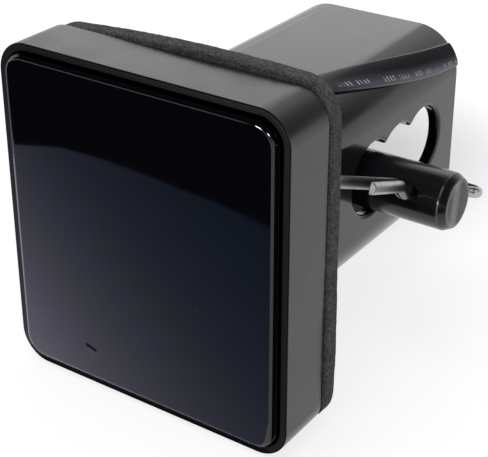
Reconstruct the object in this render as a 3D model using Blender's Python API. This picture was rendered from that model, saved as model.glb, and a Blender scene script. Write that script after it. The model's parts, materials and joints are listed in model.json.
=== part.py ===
"""Hitch receiver cover: a moulded cap with a glossy panel, a foam pad, a slotted
square tube, a headed pin and a split cotter.

Metres, +Z up.  The face looks along -Y, the tube runs along +Y and the origin is
on the tube's axis in the plane of the cap's rim.
"""
import math

import bmesh
import bpy
from mathutils import Vector

MM = 0.001
GAP = 0.3 * MM                   # clearance between neighbouring pieces
CUT_OVER = 1.0 * MM              # how far a cutter stands past the face it opens
SMALLEST_R = 0.2 * MM
CORNER_STEPS = 10                # segments in each rounded corner

# Cap moulding
CAP_OVER_SIDE = 13.3 * MM        # how far the cap reaches past the tube's sides
CAP_OVER_TOP = 16.2 * MM         # and past its top and underside
CAP_R = 7.7 * MM
CAP_HOLLOW = 5.95 * MM           # from the panel's ledge to the mounting plate
RIM_W = 2.05 * MM                # from the cap's sides to the panel's
RIM_EDGE_R = 0.6 * MM
RIM_EDGE_STEPS = 4
RIM_LIP = 0.3 * MM
LEDGE_W = 6.25 * MM
BACK_WALL = 2.5 * MM
BACK_EDGE = 0.3 * MM

# Glossy panel and the tape that holds it
PANEL_T = 3.0 * MM
PANEL_R = 5.6 * MM
PANEL_PROUD = 1.5 * MM           # how far the panel stands out of the cap's rim
PANEL_EDGE = 1.5 * MM
PANEL_EDGE_STEPS = 5
TAPE_T = 0.8 * MM
TAPE_W = 5.0 * MM

# Foam pad
FOAM_T = 4.2 * MM
FOAM_SWELL_TOP = 1.7 * MM
FOAM_LEAN = 1.0 * MM             # the top edge's rise towards the right corner
FOAM_SWELL_LEFT = 0.2 * MM
FOAM_SWELL_RIGHT = 0.8 * MM
FOAM_EDGE_R = 0.7 * MM
FOAM_EDGE_STEPS = 3
FOAM_SIDE_STEPS = 8

# Square tube with its scalloped slot
TUBE_SIDE = 50.0 * MM
TUBE_R = 11.85 * MM
TUBE_WALL = 3.0 * MM
TUBE_TAIL = 18.0 * MM            # from the last hole's middle to the tube's end
TUBE_EDGE = 0.4 * MM
SLOT_R = 9.3 * MM
SLOT_PITCH = 12.7 * MM
SLOT_COUNT = 3
SLOT_SETBACK = 39.45 * MM        # from the foam's seat to the first hole's middle
SLOT_Z = 0.3 * MM
SLOT_EDGE = 1.0 * MM

# Plate at the tube's front end and its fasteners
PLATE_T = 3.0 * MM
PLATE_CLEAR = 1.2 * MM           # round the plate, inside the cap
PLATE_R = 5.0 * MM
SCREW_D = 3.0 * MM
SCREW_HEAD_D = 5.6 * MM
SCREW_HEAD_T = 1.7 * MM
SCREW_RIM = 0.25 * MM            # straight rim of the countersunk head
SCREW_RECESS_D = 2.4 * MM
SCREW_RECESS_T = 0.5 * MM
SCREW_TIP = 0.4 * MM
SCREW_INSET = 3.0 * MM           # from the plate's edges to the screw's axis
SCREW_OVER = 0.7 * MM            # how far the thread stands past its nut
WASHER_D = 6.0 * MM
WASHER_T = 0.6 * MM
NUT_FLATS = 5.5 * MM
NUT_T = 2.4 * MM

# Pin
PIN_D = 14.3 * MM
PIN_HEAD_D = 21.0 * MM
PIN_HEAD_T = 4.0 * MM
PIN_HEAD_EDGE = 0.8 * MM
PIN_HEAD_BACK_EDGE = 0.3 * MM
PIN_LEAN = math.radians(55.0)    # the pin lies this far up the rear side of its hole
PIN_REACH = 21.9 * MM            # how far the pin stands out of the tube's side
PIN_CHAMFER_L = 1.9 * MM
PIN_CHAMFER_R = 1.1 * MM
PIN_HOLE_D = 4.0 * MM
PIN_HOLE_INSET = 9.6 * MM        # from the pin's end to the cross-hole
PIN_HOLE_TILT = math.radians(21.3)

# Split cotter, bent from half-round wire
WIRE_W = 3.0 * MM
WIRE_T = 1.5 * MM
WIRE_ARC_STEPS = 7
WIRE_END = 0.82                  # share of the section left at the cut ends
COTTER_SPLIT = 0.3 * MM
COTTER_EYE_R = 2.7 * MM
COTTER_EYE_L = 8.0 * MM
COTTER_EYE_REACH = math.radians(128.0)
COTTER_EYE_STEPS = 14
COTTER_BACK = 25.0 * MM          # from the pin's surface to the eye's far end
COTTER_CLEAR = 3.5 * MM          # from the foam's seat to the long leg's end
COTTER_LESS = 10.4 * MM          # how much shorter the short leg is
COTTER_LEG_STEPS = 14
COTTER_BEND = 6.0 * MM           # straight stretch before the legs bend up
COTTER_BEND_L = 4.5 * MM
COTTER_SPREAD_LONG = 4.3 * MM
COTTER_SPREAD_SHORT = 0.5 * MM
COTTER_LIFT_LONG = 2.1 * MM
COTTER_LIFT_SHORT = 1.5 * MM

# Flattened sleeve that lies over the tube's upper right corner
SLEEVE_W_FRONT = 10.0 * MM        # it narrows towards its rear end
SLEEVE_W_END = 6.2 * MM
SLEEVE_T = 0.7 * MM
SLEEVE_EDGE = 0.3 * MM
SLEEVE_SHORT = 1.0 * MM           # it ends this far from the tube's rear end
SLEEVE_STEPS = 26
SLEEVE_ACROSS = 12
SLEEVE_END_POS = 12.97 * MM      # its middle at the tube's rear end, round the corner
SLEEVE_FRONT_POS = -12.85 * MM   # and at the foam, where it has come round on to the top
SLEEVE_BOW = 4.56 * MM           # how far its middle bows out from a straight run

CAP_W = TUBE_SIDE + 2 * CAP_OVER_SIDE
CAP_H = TUBE_SIDE + 2 * CAP_OVER_TOP
PANEL_W = CAP_W - 2 * RIM_W
PANEL_H = CAP_H - 2 * RIM_W
LEDGE_Y = PANEL_T - PANEL_PROUD + TAPE_T + 2 * GAP
PLATE_Y = LEDGE_Y + CAP_HOLLOW
WALL_Y = PLATE_Y + PLATE_T + GAP
CAP_DEPTH = WALL_Y + BACK_WALL
FOAM_Y = CAP_DEPTH + GAP
SEAT_Y = FOAM_Y + FOAM_T
TUBE_Y = WALL_Y
SLOT_FIRST_Y = SEAT_Y + SLOT_SETBACK
TUBE_END_Y = SLOT_FIRST_Y + (SLOT_COUNT - 1) * SLOT_PITCH + TUBE_TAIL
PLATE_W = PANEL_W + 2 * (GAP - LEDGE_W - PLATE_CLEAR)
PLATE_H = PANEL_H + 2 * (GAP - LEDGE_W - PLATE_CLEAR)
SCREW_X = PLATE_W / 2 - SCREW_INSET
SCREW_Z = PLATE_H / 2 - SCREW_INSET
WASHER_Y = PLATE_Y - GAP
NUT_Y = WASHER_Y - WASHER_T - GAP
PIN_PLAY = SLOT_R - PIN_D / 2 - GAP
PIN_Y = SLOT_FIRST_Y + PIN_PLAY * math.sin(PIN_LEAN)
PIN_Z = SLOT_Z - PIN_PLAY * math.cos(PIN_LEAN)
PIN_HEAD_X = -(TUBE_SIDE / 2 + GAP)
PIN_END_X = TUBE_SIDE / 2 + PIN_REACH
PIN_HOLE_X = PIN_END_X - PIN_HOLE_INSET
COTTER_RISE = PIN_HOLE_D / 2 - WIRE_W / 2 - GAP
COTTER_LONG = (PIN_Y - SEAT_Y - COTTER_CLEAR) / math.cos(PIN_HOLE_TILT) - PIN_D / 2
COTTER_SHORT = COTTER_LONG - COTTER_LESS
FOAM_FIT = GAP + SLEEVE_T + GAP      # room round the tube, so that the sleeve passes the foam


def clear_scene():
    """Remove the objects that the file starts with."""
    for item in list(bpy.data.objects):
        bpy.data.objects.remove(item, do_unlink=True)


def material(name, colour, roughness, metallic=0.0):
    """Principled material with one plain colour."""
    made = bpy.data.materials.new(name)
    made.use_nodes = True
    shader = made.node_tree.nodes["Principled BSDF"]
    shader.inputs["Base Color"].default_value = (*colour, 1.0)
    shader.inputs["Roughness"].default_value = roughness
    shader.inputs["Metallic"].default_value = metallic
    return made


def mesh_object(name, points, faces, look, smooth=None):
    """Object from points and faces, with its normals made to point out."""
    data = bpy.data.meshes.new(name)
    data.from_pydata([tuple(p) for p in points], [], faces)
    work = bmesh.new()
    work.from_mesh(data)
    bmesh.ops.remove_doubles(work, verts=work.verts, dist=1e-6)
    bmesh.ops.recalc_face_normals(work, faces=work.faces)
    work.to_mesh(data)
    work.free()
    data.materials.append(look)
    item = bpy.data.objects.new(name, data)
    bpy.context.scene.collection.objects.link(item)
    if smooth is not None:
        data.shade_smooth()
        data.set_sharp_from_angle(angle=math.radians(smooth))
    return item


def rounded_rect(width, height, radius, side_steps=1):
    """Points (x, z) of a rounded rectangle, counter-clockwise from its right side."""
    points = []
    for quarter in range(4):
        sx = 1 if quarter in (0, 3) else -1
        sz = 1 if quarter in (0, 1) else -1
        cx, cz = sx * (width / 2 - radius), sz * (height / 2 - radius)
        for step in range(CORNER_STEPS + 1):
            turn = math.radians(90 * quarter) + math.pi / 2 * step / CORNER_STEPS
            points.append((cx + radius * math.cos(turn), cz + radius * math.sin(turn)))
        side = (width if quarter in (0, 2) else height) - 2 * radius
        ahead = Vector((-math.sin(turn), math.cos(turn)))
        start = Vector(points[-1])
        points += [tuple(start + ahead * side * k / side_steps) for k in range(1, side_steps)]
    return points


def ring(width, height, radius, y):
    """One loop of points of a rounded rectangle in the plane at y."""
    return [Vector((x, y, z)) for x, z in rounded_rect(width, height, radius)]


def inset_ring(width, height, radius, inset, y):
    """The same loop, moved in by an inset that keeps the corners concentric."""
    return ring(width - 2 * inset, height - 2 * inset, max(radius - inset, SMALLEST_R), y)


def loft(name, rings, look, closed=False, caps=True, smooth=35.0):
    """Skin a list of loops; closed joins the last to the first, caps fills the ends."""
    points = [p for loop in rings for p in loop]
    count = len(rings[0])
    faces = []
    spans = len(rings) if closed else len(rings) - 1
    for i in range(spans):
        j = (i + 1) % len(rings)
        for k in range(count):
            m = (k + 1) % count
            faces.append((i * count + k, i * count + m, j * count + m, j * count + k))
    if caps and not closed:
        faces.append(tuple(range(count)))
        faces.append(tuple((len(rings) - 1) * count + k for k in range(count)))
    return mesh_object(name, points, faces, look, smooth)


def frame_loop(centre, axis_a, axis_b, radius, sides, phase=0.0):
    """A circle of points in the plane of two axes."""
    return [centre + axis_a * (radius * math.cos(phase + 2 * math.pi * k / sides))
            + axis_b * (radius * math.sin(phase + 2 * math.pi * k / sides))
            for k in range(sides)]


def lathe(name, start, axis, stations, look, sides=48, smooth=35.0):
    """Solid of revolution from (distance, radius) stations along an axis."""
    axis = axis.normalized()
    axis_a = axis.orthogonal().normalized()
    axis_b = axis.cross(axis_a)
    rings = [frame_loop(start + axis * d, axis_a, axis_b, r, sides) for d, r in stations]
    return loft(name, rings, look, smooth=smooth)


def cut(target, cutter):
    """Take one solid out of another and drop the tool."""
    step = target.modifiers.new("cut", "BOOLEAN")
    step.operation = "DIFFERENCE"
    step.solver = "EXACT"
    step.object = cutter
    bpy.context.view_layer.update()
    evaluated = target.evaluated_get(bpy.context.evaluated_depsgraph_get())
    result = bpy.data.meshes.new_from_object(evaluated)
    target.modifiers.remove(step)
    old = target.data
    target.data = result
    bpy.data.meshes.remove(old)
    bpy.data.objects.remove(cutter, do_unlink=True)
    return target


def build_cap(look):
    """Cap moulding: rim, panel recess, ledge, hollow back and the tube's opening."""
    outer = (CAP_W, CAP_H, CAP_R)
    recess = (PANEL_W + 2 * GAP, PANEL_H + 2 * GAP, PANEL_R + GAP)
    opening = (TUBE_SIDE + 2 * GAP, TUBE_SIDE + 2 * GAP, TUBE_R + GAP)
    rings = [inset_ring(*outer, BACK_EDGE, CAP_DEPTH),
             ring(*outer, CAP_DEPTH - BACK_EDGE)]
    for step in range(RIM_EDGE_STEPS + 1):
        turn = math.pi / 2 * step / RIM_EDGE_STEPS
        rings.append(inset_ring(*outer, RIM_EDGE_R * (1 - math.cos(turn)),
                                RIM_EDGE_R * (1 - math.sin(turn))))
    rings += [inset_ring(*recess, -RIM_LIP, 0.0),
              ring(*recess, RIM_LIP),
              ring(*recess, LEDGE_Y),
              inset_ring(*recess, LEDGE_W, LEDGE_Y),
              inset_ring(*recess, LEDGE_W, WALL_Y),
              ring(*opening, WALL_Y),
              ring(*opening, CAP_DEPTH)]
    cap = loft("cap_shell", rings, look, closed=True)
    head_r, thread_r = SCREW_HEAD_D / 2 + GAP, SCREW_D / 2 + GAP
    for x, z in screw_places():
        cut(cap, lathe("hole", Vector((x, CAP_DEPTH + CUT_OVER, z)), Vector((0, -1, 0)),
                       [(0, head_r), (CUT_OVER + SCREW_RIM, head_r),
                        (CUT_OVER + SCREW_HEAD_T + GAP, thread_r),
                        (BACK_WALL + 2 * CUT_OVER, thread_r)], look, sides=24))
    return cap


def screw_places():
    """Axes (x, z) of the four screws in the plate."""
    return [(sx * SCREW_X, sz * SCREW_Z) for sx in (1, -1) for sz in (1, -1)]


def build_panel(look):
    """Glossy panel with a softly rounded margin, which stands out of the rim."""
    front = -PANEL_PROUD
    back = front + PANEL_T
    rings = [ring(PANEL_W, PANEL_H, PANEL_R, back)]
    for step in range(PANEL_EDGE_STEPS + 1):
        turn = math.pi / 2 * step / PANEL_EDGE_STEPS
        rings.append(inset_ring(PANEL_W, PANEL_H, PANEL_R, PANEL_EDGE * (1 - math.cos(turn)),
                                front + PANEL_EDGE * (1 - math.sin(turn))))
    return loft("face_panel", rings, look)


def build_tape(look):
    """Double-sided tape between the panel's margin and the cap's ledge."""
    near = PANEL_T - PANEL_PROUD + GAP
    far = near + TAPE_T
    panel = (PANEL_W, PANEL_H, PANEL_R)
    rings = [inset_ring(*panel, GAP, near), inset_ring(*panel, GAP, far),
             inset_ring(*panel, GAP + TAPE_W, far), inset_ring(*panel, GAP + TAPE_W, near)]
    return loft("panel_tape", rings, look, closed=True)


def foam_edge(inset, y):
    """One loop round the foam pad, which swells past the cap and rises to the right."""
    loop = []
    for x, z in rounded_rect(CAP_W, CAP_H, CAP_R, FOAM_SIDE_STEPS):
        across, up = 2 * x / CAP_W, 2 * z / CAP_H
        swell = FOAM_SWELL_RIGHT if across > 0 else FOAM_SWELL_LEFT
        out_x = swell * (1 - up ** 4) * across
        out_z = (FOAM_SWELL_TOP * (1 - across * across) + FOAM_LEAN * across) * max(up, 0.0)
        point = Vector((x + out_x, y, z + out_z))
        loop.append(point - Vector((x, 0, z)).normalized() * inset)
    return loop


def build_foam(look):
    """Foam pad behind the cap, cut out round the tube and the sleeve on it."""
    hole = rounded_rect(TUBE_SIDE + 2 * FOAM_FIT, TUBE_SIDE + 2 * FOAM_FIT, TUBE_R + FOAM_FIT,
                        FOAM_SIDE_STEPS)
    rear = SEAT_Y
    rings = [[Vector((x, FOAM_Y, z)) for x, z in hole]]
    for k in range(FOAM_EDGE_STEPS + 1):
        turn = math.pi / 2 * k / FOAM_EDGE_STEPS
        rings.append(foam_edge(FOAM_EDGE_R * (1 - math.sin(turn)),
                               FOAM_Y + FOAM_EDGE_R * (1 - math.cos(turn))))
    for k in range(FOAM_EDGE_STEPS + 1):
        turn = math.pi / 2 * k / FOAM_EDGE_STEPS
        rings.append(foam_edge(FOAM_EDGE_R * (1 - math.cos(turn)),
                               rear - FOAM_EDGE_R * (1 - math.sin(turn))))
    rings.append([Vector((x, rear, z)) for x, z in hole])
    return loft("foam_pad", rings, look, closed=True)


def build_plate(look):
    """Steel plate inside the cap that carries the tube."""
    plate = loft("mounting_plate",
                 [ring(PLATE_W, PLATE_H, PLATE_R, PLATE_Y),
                  ring(PLATE_W, PLATE_H, PLATE_R, PLATE_Y + PLATE_T)], look)
    for x, z in screw_places():
        cut(plate, lathe("hole", Vector((x, PLATE_Y - CUT_OVER, z)), Vector((0, 1, 0)),
                         [(0, SCREW_D / 2 + GAP), (PLATE_T + 2 * CUT_OVER, SCREW_D / 2 + GAP)],
                         look, sides=24))
    return plate


def build_tube(look):
    """Square tube, with a chain of round holes run together through both sides."""
    inner = (TUBE_SIDE - 2 * TUBE_WALL, TUBE_SIDE - 2 * TUBE_WALL, TUBE_R - TUBE_WALL)
    outer = (TUBE_SIDE, TUBE_SIDE, TUBE_R)
    rings = [ring(*outer, TUBE_Y),
             ring(*outer, TUBE_END_Y - TUBE_EDGE),
             inset_ring(*outer, TUBE_EDGE, TUBE_END_Y),
             inset_ring(*inner, -TUBE_EDGE, TUBE_END_Y),
             ring(*inner, TUBE_END_Y - TUBE_EDGE),
             ring(*inner, TUBE_Y)]
    tube = loft("receiver_tube", rings, look, closed=True)
    wide = SLOT_R + SLOT_EDGE + CUT_OVER
    profile = [(-CUT_OVER, wide), (SLOT_EDGE, SLOT_R), (TUBE_SIDE - SLOT_EDGE, SLOT_R),
               (TUBE_SIDE + CUT_OVER, wide)]
    for index in range(SLOT_COUNT):
        start = Vector((-TUBE_SIDE / 2, SLOT_FIRST_Y + index * SLOT_PITCH, SLOT_Z))
        cut(tube, lathe("hole", start, Vector((1, 0, 0)), profile, look, sides=48))
    return tube


def build_screw(name, x, z, look):
    """Countersunk screw from behind the cap through the plate."""
    length = CAP_DEPTH - (NUT_Y - NUT_T - SCREW_OVER)
    return lathe(name, Vector((x, CAP_DEPTH, z)), Vector((0, -1, 0)),
                 [(SCREW_RECESS_T, SCREW_RECESS_D / 2 - SCREW_RECESS_T / 2),
                  (0, SCREW_RECESS_D / 2), (0, SCREW_HEAD_D / 2),
                  (SCREW_RIM, SCREW_HEAD_D / 2), (SCREW_HEAD_T, SCREW_D / 2),
                  (length - SCREW_TIP, SCREW_D / 2), (length, SCREW_D / 2 - SCREW_TIP)],
                 look, sides=20)


def bored_disc(name, outline, x, z, y, thickness, look):
    """Flat piece with the given outline radii, bored for the screw, its rear face at y."""
    sides = len(outline)
    axis_a, axis_b = Vector((1, 0, 0)), Vector((0, 0, 1))

    def edge(depth):
        centre = Vector((x, depth, z))
        return [centre + axis_a * (r * math.cos(2 * math.pi * k / sides))
                + axis_b * (r * math.sin(2 * math.pi * k / sides))
                for k, r in enumerate(outline)]

    def bore(depth):
        return frame_loop(Vector((x, depth, z)), axis_a, axis_b, SCREW_D / 2 + GAP, sides)

    rings = [edge(y), edge(y - thickness), bore(y - thickness), bore(y)]
    return loft(name, rings, look, closed=True)


def build_washer(name, x, z, look):
    """Plain washer between the plate and the nut."""
    return bored_disc(name, [WASHER_D / 2] * 24, x, z, WASHER_Y, WASHER_T, look)


def build_nut(name, x, z, look):
    """Hexagon nut on the plate's front side."""
    sides, sector = 24, math.pi / 3
    outline = []
    for k in range(sides):
        off_flat = (2 * math.pi * k / sides + sector / 2) % sector - sector / 2
        outline.append(NUT_FLATS / 2 / math.cos(off_flat))
    return bored_disc(name, outline, x, z, NUT_Y, NUT_T, look)


def cotter_axes():
    """Axis of the cross-hole towards the camera side, and the wire's width axis."""
    along = Vector((0, -math.cos(PIN_HOLE_TILT), math.sin(PIN_HOLE_TILT)))
    across = Vector((0, math.sin(PIN_HOLE_TILT), math.cos(PIN_HOLE_TILT)))
    return along, across


def build_pin(look):
    """Round pin with a flat head, a chamfered end and a cross-hole."""
    start = PIN_HEAD_X - PIN_HEAD_T
    head_r, r = PIN_HEAD_D / 2, PIN_D / 2
    end = PIN_END_X - start
    pin = lathe("hitch_pin", Vector((start, PIN_Y, PIN_Z)), Vector((1, 0, 0)),
                [(0, head_r - PIN_HEAD_EDGE), (PIN_HEAD_EDGE, head_r),
                 (PIN_HEAD_T - PIN_HEAD_BACK_EDGE, head_r),
                 (PIN_HEAD_T, head_r - PIN_HEAD_BACK_EDGE),
                 (PIN_HEAD_T, r), (end - PIN_CHAMFER_L, r), (end, r - PIN_CHAMFER_R)],
                look, sides=64)
    along, _ = cotter_axes()
    centre = Vector((PIN_HOLE_X, PIN_Y, PIN_Z))
    cut(pin, lathe("hole", centre - along * PIN_D, along,
                   [(0, PIN_HOLE_D / 2), (2 * PIN_D, PIN_HOLE_D / 2)], look, sides=32))
    return pin


def smoothstep(value):
    """Smooth ramp from 0 to 1."""
    value = min(1.0, max(0.0, value))
    return value * value * (3 - 2 * value)


def cotter_leg(length, spread, lift):
    """Stations (along, sideways, up) of one leg, from the pin's middle to its cut end."""
    stations = [(0.0, 0.0, 0.0)]
    for k in range(COTTER_LEG_STEPS + 1):
        out = length * k / COTTER_LEG_STEPS
        stations.append((PIN_D / 2 + out, spread * smoothstep(out / length),
                         lift * smoothstep((out - COTTER_BEND) / COTTER_BEND_L)))
    return stations


def cotter_path():
    """Stations of the wire's flat side, from the short leg's end to the long leg's."""
    half = COTTER_SPLIT / 2
    eye_far = -(PIN_D / 2 + COTTER_BACK)
    eye_neck = eye_far + COTTER_EYE_L
    eye_c = eye_far + COTTER_EYE_R + WIRE_T
    short = cotter_leg(COTTER_SHORT, COTTER_SPREAD_SHORT, COTTER_LIFT_SHORT)
    path = [(s, half + x, v) for s, x, v in reversed(short)]
    path.append((eye_neck, half, 0.0))
    for k in range(COTTER_EYE_STEPS + 1):
        turn = COTTER_EYE_REACH * (1 - 2 * k / COTTER_EYE_STEPS)
        path.append((eye_c - COTTER_EYE_R * math.cos(turn), COTTER_EYE_R * math.sin(turn), 0.0))
    path.append((eye_neck, -half, 0.0))
    path += [(s, -half - x, v)
             for s, x, v in cotter_leg(COTTER_LONG, COTTER_SPREAD_LONG, COTTER_LIFT_LONG)]
    return path


def build_cotter(look):
    """Split cotter, swept in half-round wire through the pin's cross-hole."""
    along, across = cotter_axes()
    side = Vector((1, 0, 0))
    centre = Vector((PIN_HOLE_X, PIN_Y, PIN_Z)) + across * COTTER_RISE
    line = [centre + along * s + side * x + across * v for s, x, v in cotter_path()]
    rings = []
    for i, point in enumerate(line):
        at_end = i in (0, len(line) - 1)
        tangent = (line[min(i + 1, len(line) - 1)] - line[max(i - 1, 0)]).normalized()
        outward = tangent.cross(across).normalized()
        width = tangent.cross(outward).normalized()
        size = WIRE_END if at_end else 1.0
        middle = point + outward * (WIRE_T * (1 - size) / 2)
        rings.append([middle + width * (WIRE_W / 2 * size * math.cos(turn))
                      + outward * (WIRE_T * size * math.sin(turn))
                      for turn in (math.pi * k / WIRE_ARC_STEPS
                                   for k in range(WIRE_ARC_STEPS + 1))])
    return loft("split_cotter", rings, look, smooth=50.0)


def corner_point(position, lift):
    """Point (x, z) over the tube's outside, measured round its upper right corner."""
    centre = TUBE_SIDE / 2 - TUBE_R
    arc = TUBE_R * math.pi / 2
    if position < 0:
        return centre + position, TUBE_SIDE / 2 + lift
    if position > arc:
        return TUBE_SIDE / 2 + lift, centre - (position - arc)
    turn = position / TUBE_R
    return (centre + (TUBE_R + lift) * math.sin(turn),
            centre + (TUBE_R + lift) * math.cos(turn))


def sleeve_position(y):
    """Where the sleeve's middle lies round the corner at one station, and half its width."""
    t = (TUBE_END_Y - y) / (TUBE_END_Y - SEAT_Y - GAP)
    straight = SLEEVE_END_POS + (SLEEVE_FRONT_POS - SLEEVE_END_POS) * t
    half = (SLEEVE_W_END + (SLEEVE_W_FRONT - SLEEVE_W_END) * t) / 2
    return straight + SLEEVE_BOW * 4 * t * (1 - t), half


def build_sleeve(look):
    """Flattened sleeve laid over the corner, from the foam to the tube's rear end."""
    first = SEAT_Y + GAP
    shares = [-1 + 2 * k / SLEEVE_ACROSS for k in range(SLEEVE_ACROSS + 1)]
    rings = []
    for i in range(SLEEVE_STEPS + 1):
        y = first + (TUBE_END_Y - SLEEVE_SHORT - first) * i / SLEEVE_STEPS
        middle, half = sleeve_position(y)
        under = [corner_point(middle + u * half, GAP) for u in shares]
        over = [corner_point(middle + u * half,
                             GAP + SLEEVE_EDGE + (SLEEVE_T - SLEEVE_EDGE) * (1 - u ** 4) ** 0.5)
                for u in reversed(shares)]
        rings.append([Vector((x, y, z)) for x, z in under + over])
    return loft("corner_sleeve", rings, look, smooth=50.0)


def main():
    """Build every piece."""
    clear_scene()
    plastic = material("black_plastic", (0.02, 0.02, 0.022), 0.35)
    gloss = material("gloss_panel", (0.004, 0.004, 0.006), 0.05)
    tape = material("tape", (0.6, 0.6, 0.6), 0.8)
    foam = material("foam", (0.06, 0.06, 0.06), 0.95)
    paint = material("black_paint", (0.015, 0.015, 0.017), 0.15, 0.0)
    zinc = material("zinc", (0.6, 0.6, 0.6), 0.35, 1.0)
    black_pin = material("pin_black", (0.012, 0.012, 0.014), 0.2)
    sleeve = material("sleeve", (0.02, 0.02, 0.024), 0.25)
    build_cap(plastic)
    build_panel(gloss)
    build_tape(tape)
    build_foam(foam)
    build_plate(zinc)
    build_tube(paint)
    for index, (x, z) in enumerate(screw_places(), start=1):
        build_screw(f"plate_screw_{index}", x, z, zinc)
        build_washer(f"plate_washer_{index}", x, z, zinc)
        build_nut(f"plate_nut_{index}", x, z, zinc)
    build_pin(black_pin)
    build_cotter(zinc)
    build_sleeve(sleeve)


main()
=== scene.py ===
"""Studio picture of a hitch receiver cover.

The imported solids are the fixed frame. The pieces that show are built finer over them: the
cap moulding, the polished panel, the foam ring, the slotted tube, the turned pin, the bent
cotter and the flattened sleeve. The hidden plate, tape and fasteners keep their solids.

Metres, +Z up. The face looks along -Y, the tube runs along +Y, and the origin is on the
tube's axis in the plane of the cap's rim.
"""
import json
import logging
import math
from collections.abc import Callable, Sequence
from dataclasses import dataclass, field
from enum import Enum

import bmesh
import bpy
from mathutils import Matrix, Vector, noise

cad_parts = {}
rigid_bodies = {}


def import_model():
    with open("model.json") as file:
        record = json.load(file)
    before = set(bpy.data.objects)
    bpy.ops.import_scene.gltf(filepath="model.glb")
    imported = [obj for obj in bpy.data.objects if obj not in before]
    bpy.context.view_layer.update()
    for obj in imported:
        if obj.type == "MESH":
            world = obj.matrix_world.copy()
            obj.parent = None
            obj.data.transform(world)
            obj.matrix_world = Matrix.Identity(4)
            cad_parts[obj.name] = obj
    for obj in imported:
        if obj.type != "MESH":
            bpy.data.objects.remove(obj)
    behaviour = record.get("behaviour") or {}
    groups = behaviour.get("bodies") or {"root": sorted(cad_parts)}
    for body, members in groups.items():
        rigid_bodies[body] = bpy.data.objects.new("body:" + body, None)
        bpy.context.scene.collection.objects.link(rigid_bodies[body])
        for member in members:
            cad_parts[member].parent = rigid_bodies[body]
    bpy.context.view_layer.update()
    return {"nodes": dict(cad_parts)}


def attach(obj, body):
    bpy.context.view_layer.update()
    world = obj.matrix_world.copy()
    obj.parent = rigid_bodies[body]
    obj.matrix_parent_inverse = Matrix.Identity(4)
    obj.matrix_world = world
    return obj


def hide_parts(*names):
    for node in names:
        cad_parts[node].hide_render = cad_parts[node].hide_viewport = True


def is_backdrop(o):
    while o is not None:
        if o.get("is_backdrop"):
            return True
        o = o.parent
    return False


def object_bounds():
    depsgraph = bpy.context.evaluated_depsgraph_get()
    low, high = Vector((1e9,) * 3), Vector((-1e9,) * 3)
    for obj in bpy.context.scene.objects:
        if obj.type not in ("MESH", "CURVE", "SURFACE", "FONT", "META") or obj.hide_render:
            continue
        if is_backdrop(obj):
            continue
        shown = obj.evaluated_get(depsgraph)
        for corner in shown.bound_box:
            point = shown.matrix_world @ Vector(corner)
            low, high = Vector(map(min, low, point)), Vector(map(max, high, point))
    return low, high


LOG = logging.getLogger("receiver_cover")
MM = 0.001

SLEEVE_MAP = "along_across"
# How far a cutting tool stands proud of what it cuts.
PROUD = 1.0 * MM
WHITE, BLACK = (1.0, 1.0, 1.0), (0.0, 0.0, 0.0)
CLOUDY = (0.3, 0.7)
# Places of the Mix node's colour inputs and of its colour output.
MIX_INPUTS, MIX_RESULT = (6, 7), 2

Loop = list[Vector]
Colour = tuple[float, float, float]
Point = tuple[float, float, float]
# Two coordinates in a plane, or a distance along an axis with the radius there.
Station = tuple[float, float]
# Where a ramp begins and where it ends.
Span = tuple[float, float]


class Closing(Enum):
    """How the ends of a skinned run of loops are closed."""

    RING = "ring"
    CAPS = "caps"


# ----------------------------------------------------------------------------- main sizes


@dataclass(frozen=True)
class CoverSizes:
    """Sizes that several pieces share."""

    gap: float = 0.3 * MM
    tube_side: float = 50.0 * MM
    tube_r: float = 11.85 * MM
    tube_wall: float = 3.0 * MM
    tube_y: float = 12.15 * MM
    tube_end_y: float = 102.0 * MM
    cap_w: float = 76.6 * MM
    cap_h: float = 82.4 * MM
    cap_r: float = 7.7 * MM
    cap_depth: float = 14.65 * MM
    rim_w: float = 2.05 * MM
    foam_y: float = 14.95 * MM
    seat_y: float = 19.15 * MM
    slot_first_y: float = 58.6 * MM
    slot_pitch: float = 12.7 * MM
    slot_r: float = 9.3 * MM
    slot_z: float = 0.3 * MM
    pin_y: float = 60.115 * MM
    pin_z: float = -0.761 * MM
    pin_d: float = 14.3 * MM
    pin_end_x: float = 46.9 * MM
    pin_hole_x: float = 37.3 * MM
    pin_hole_d: float = 4.0 * MM
    pin_hole_tilt: float = math.radians(21.3)
    sleeve_t: float = 0.7 * MM


# --------------------------------------------------------------------------- shader maths


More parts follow.
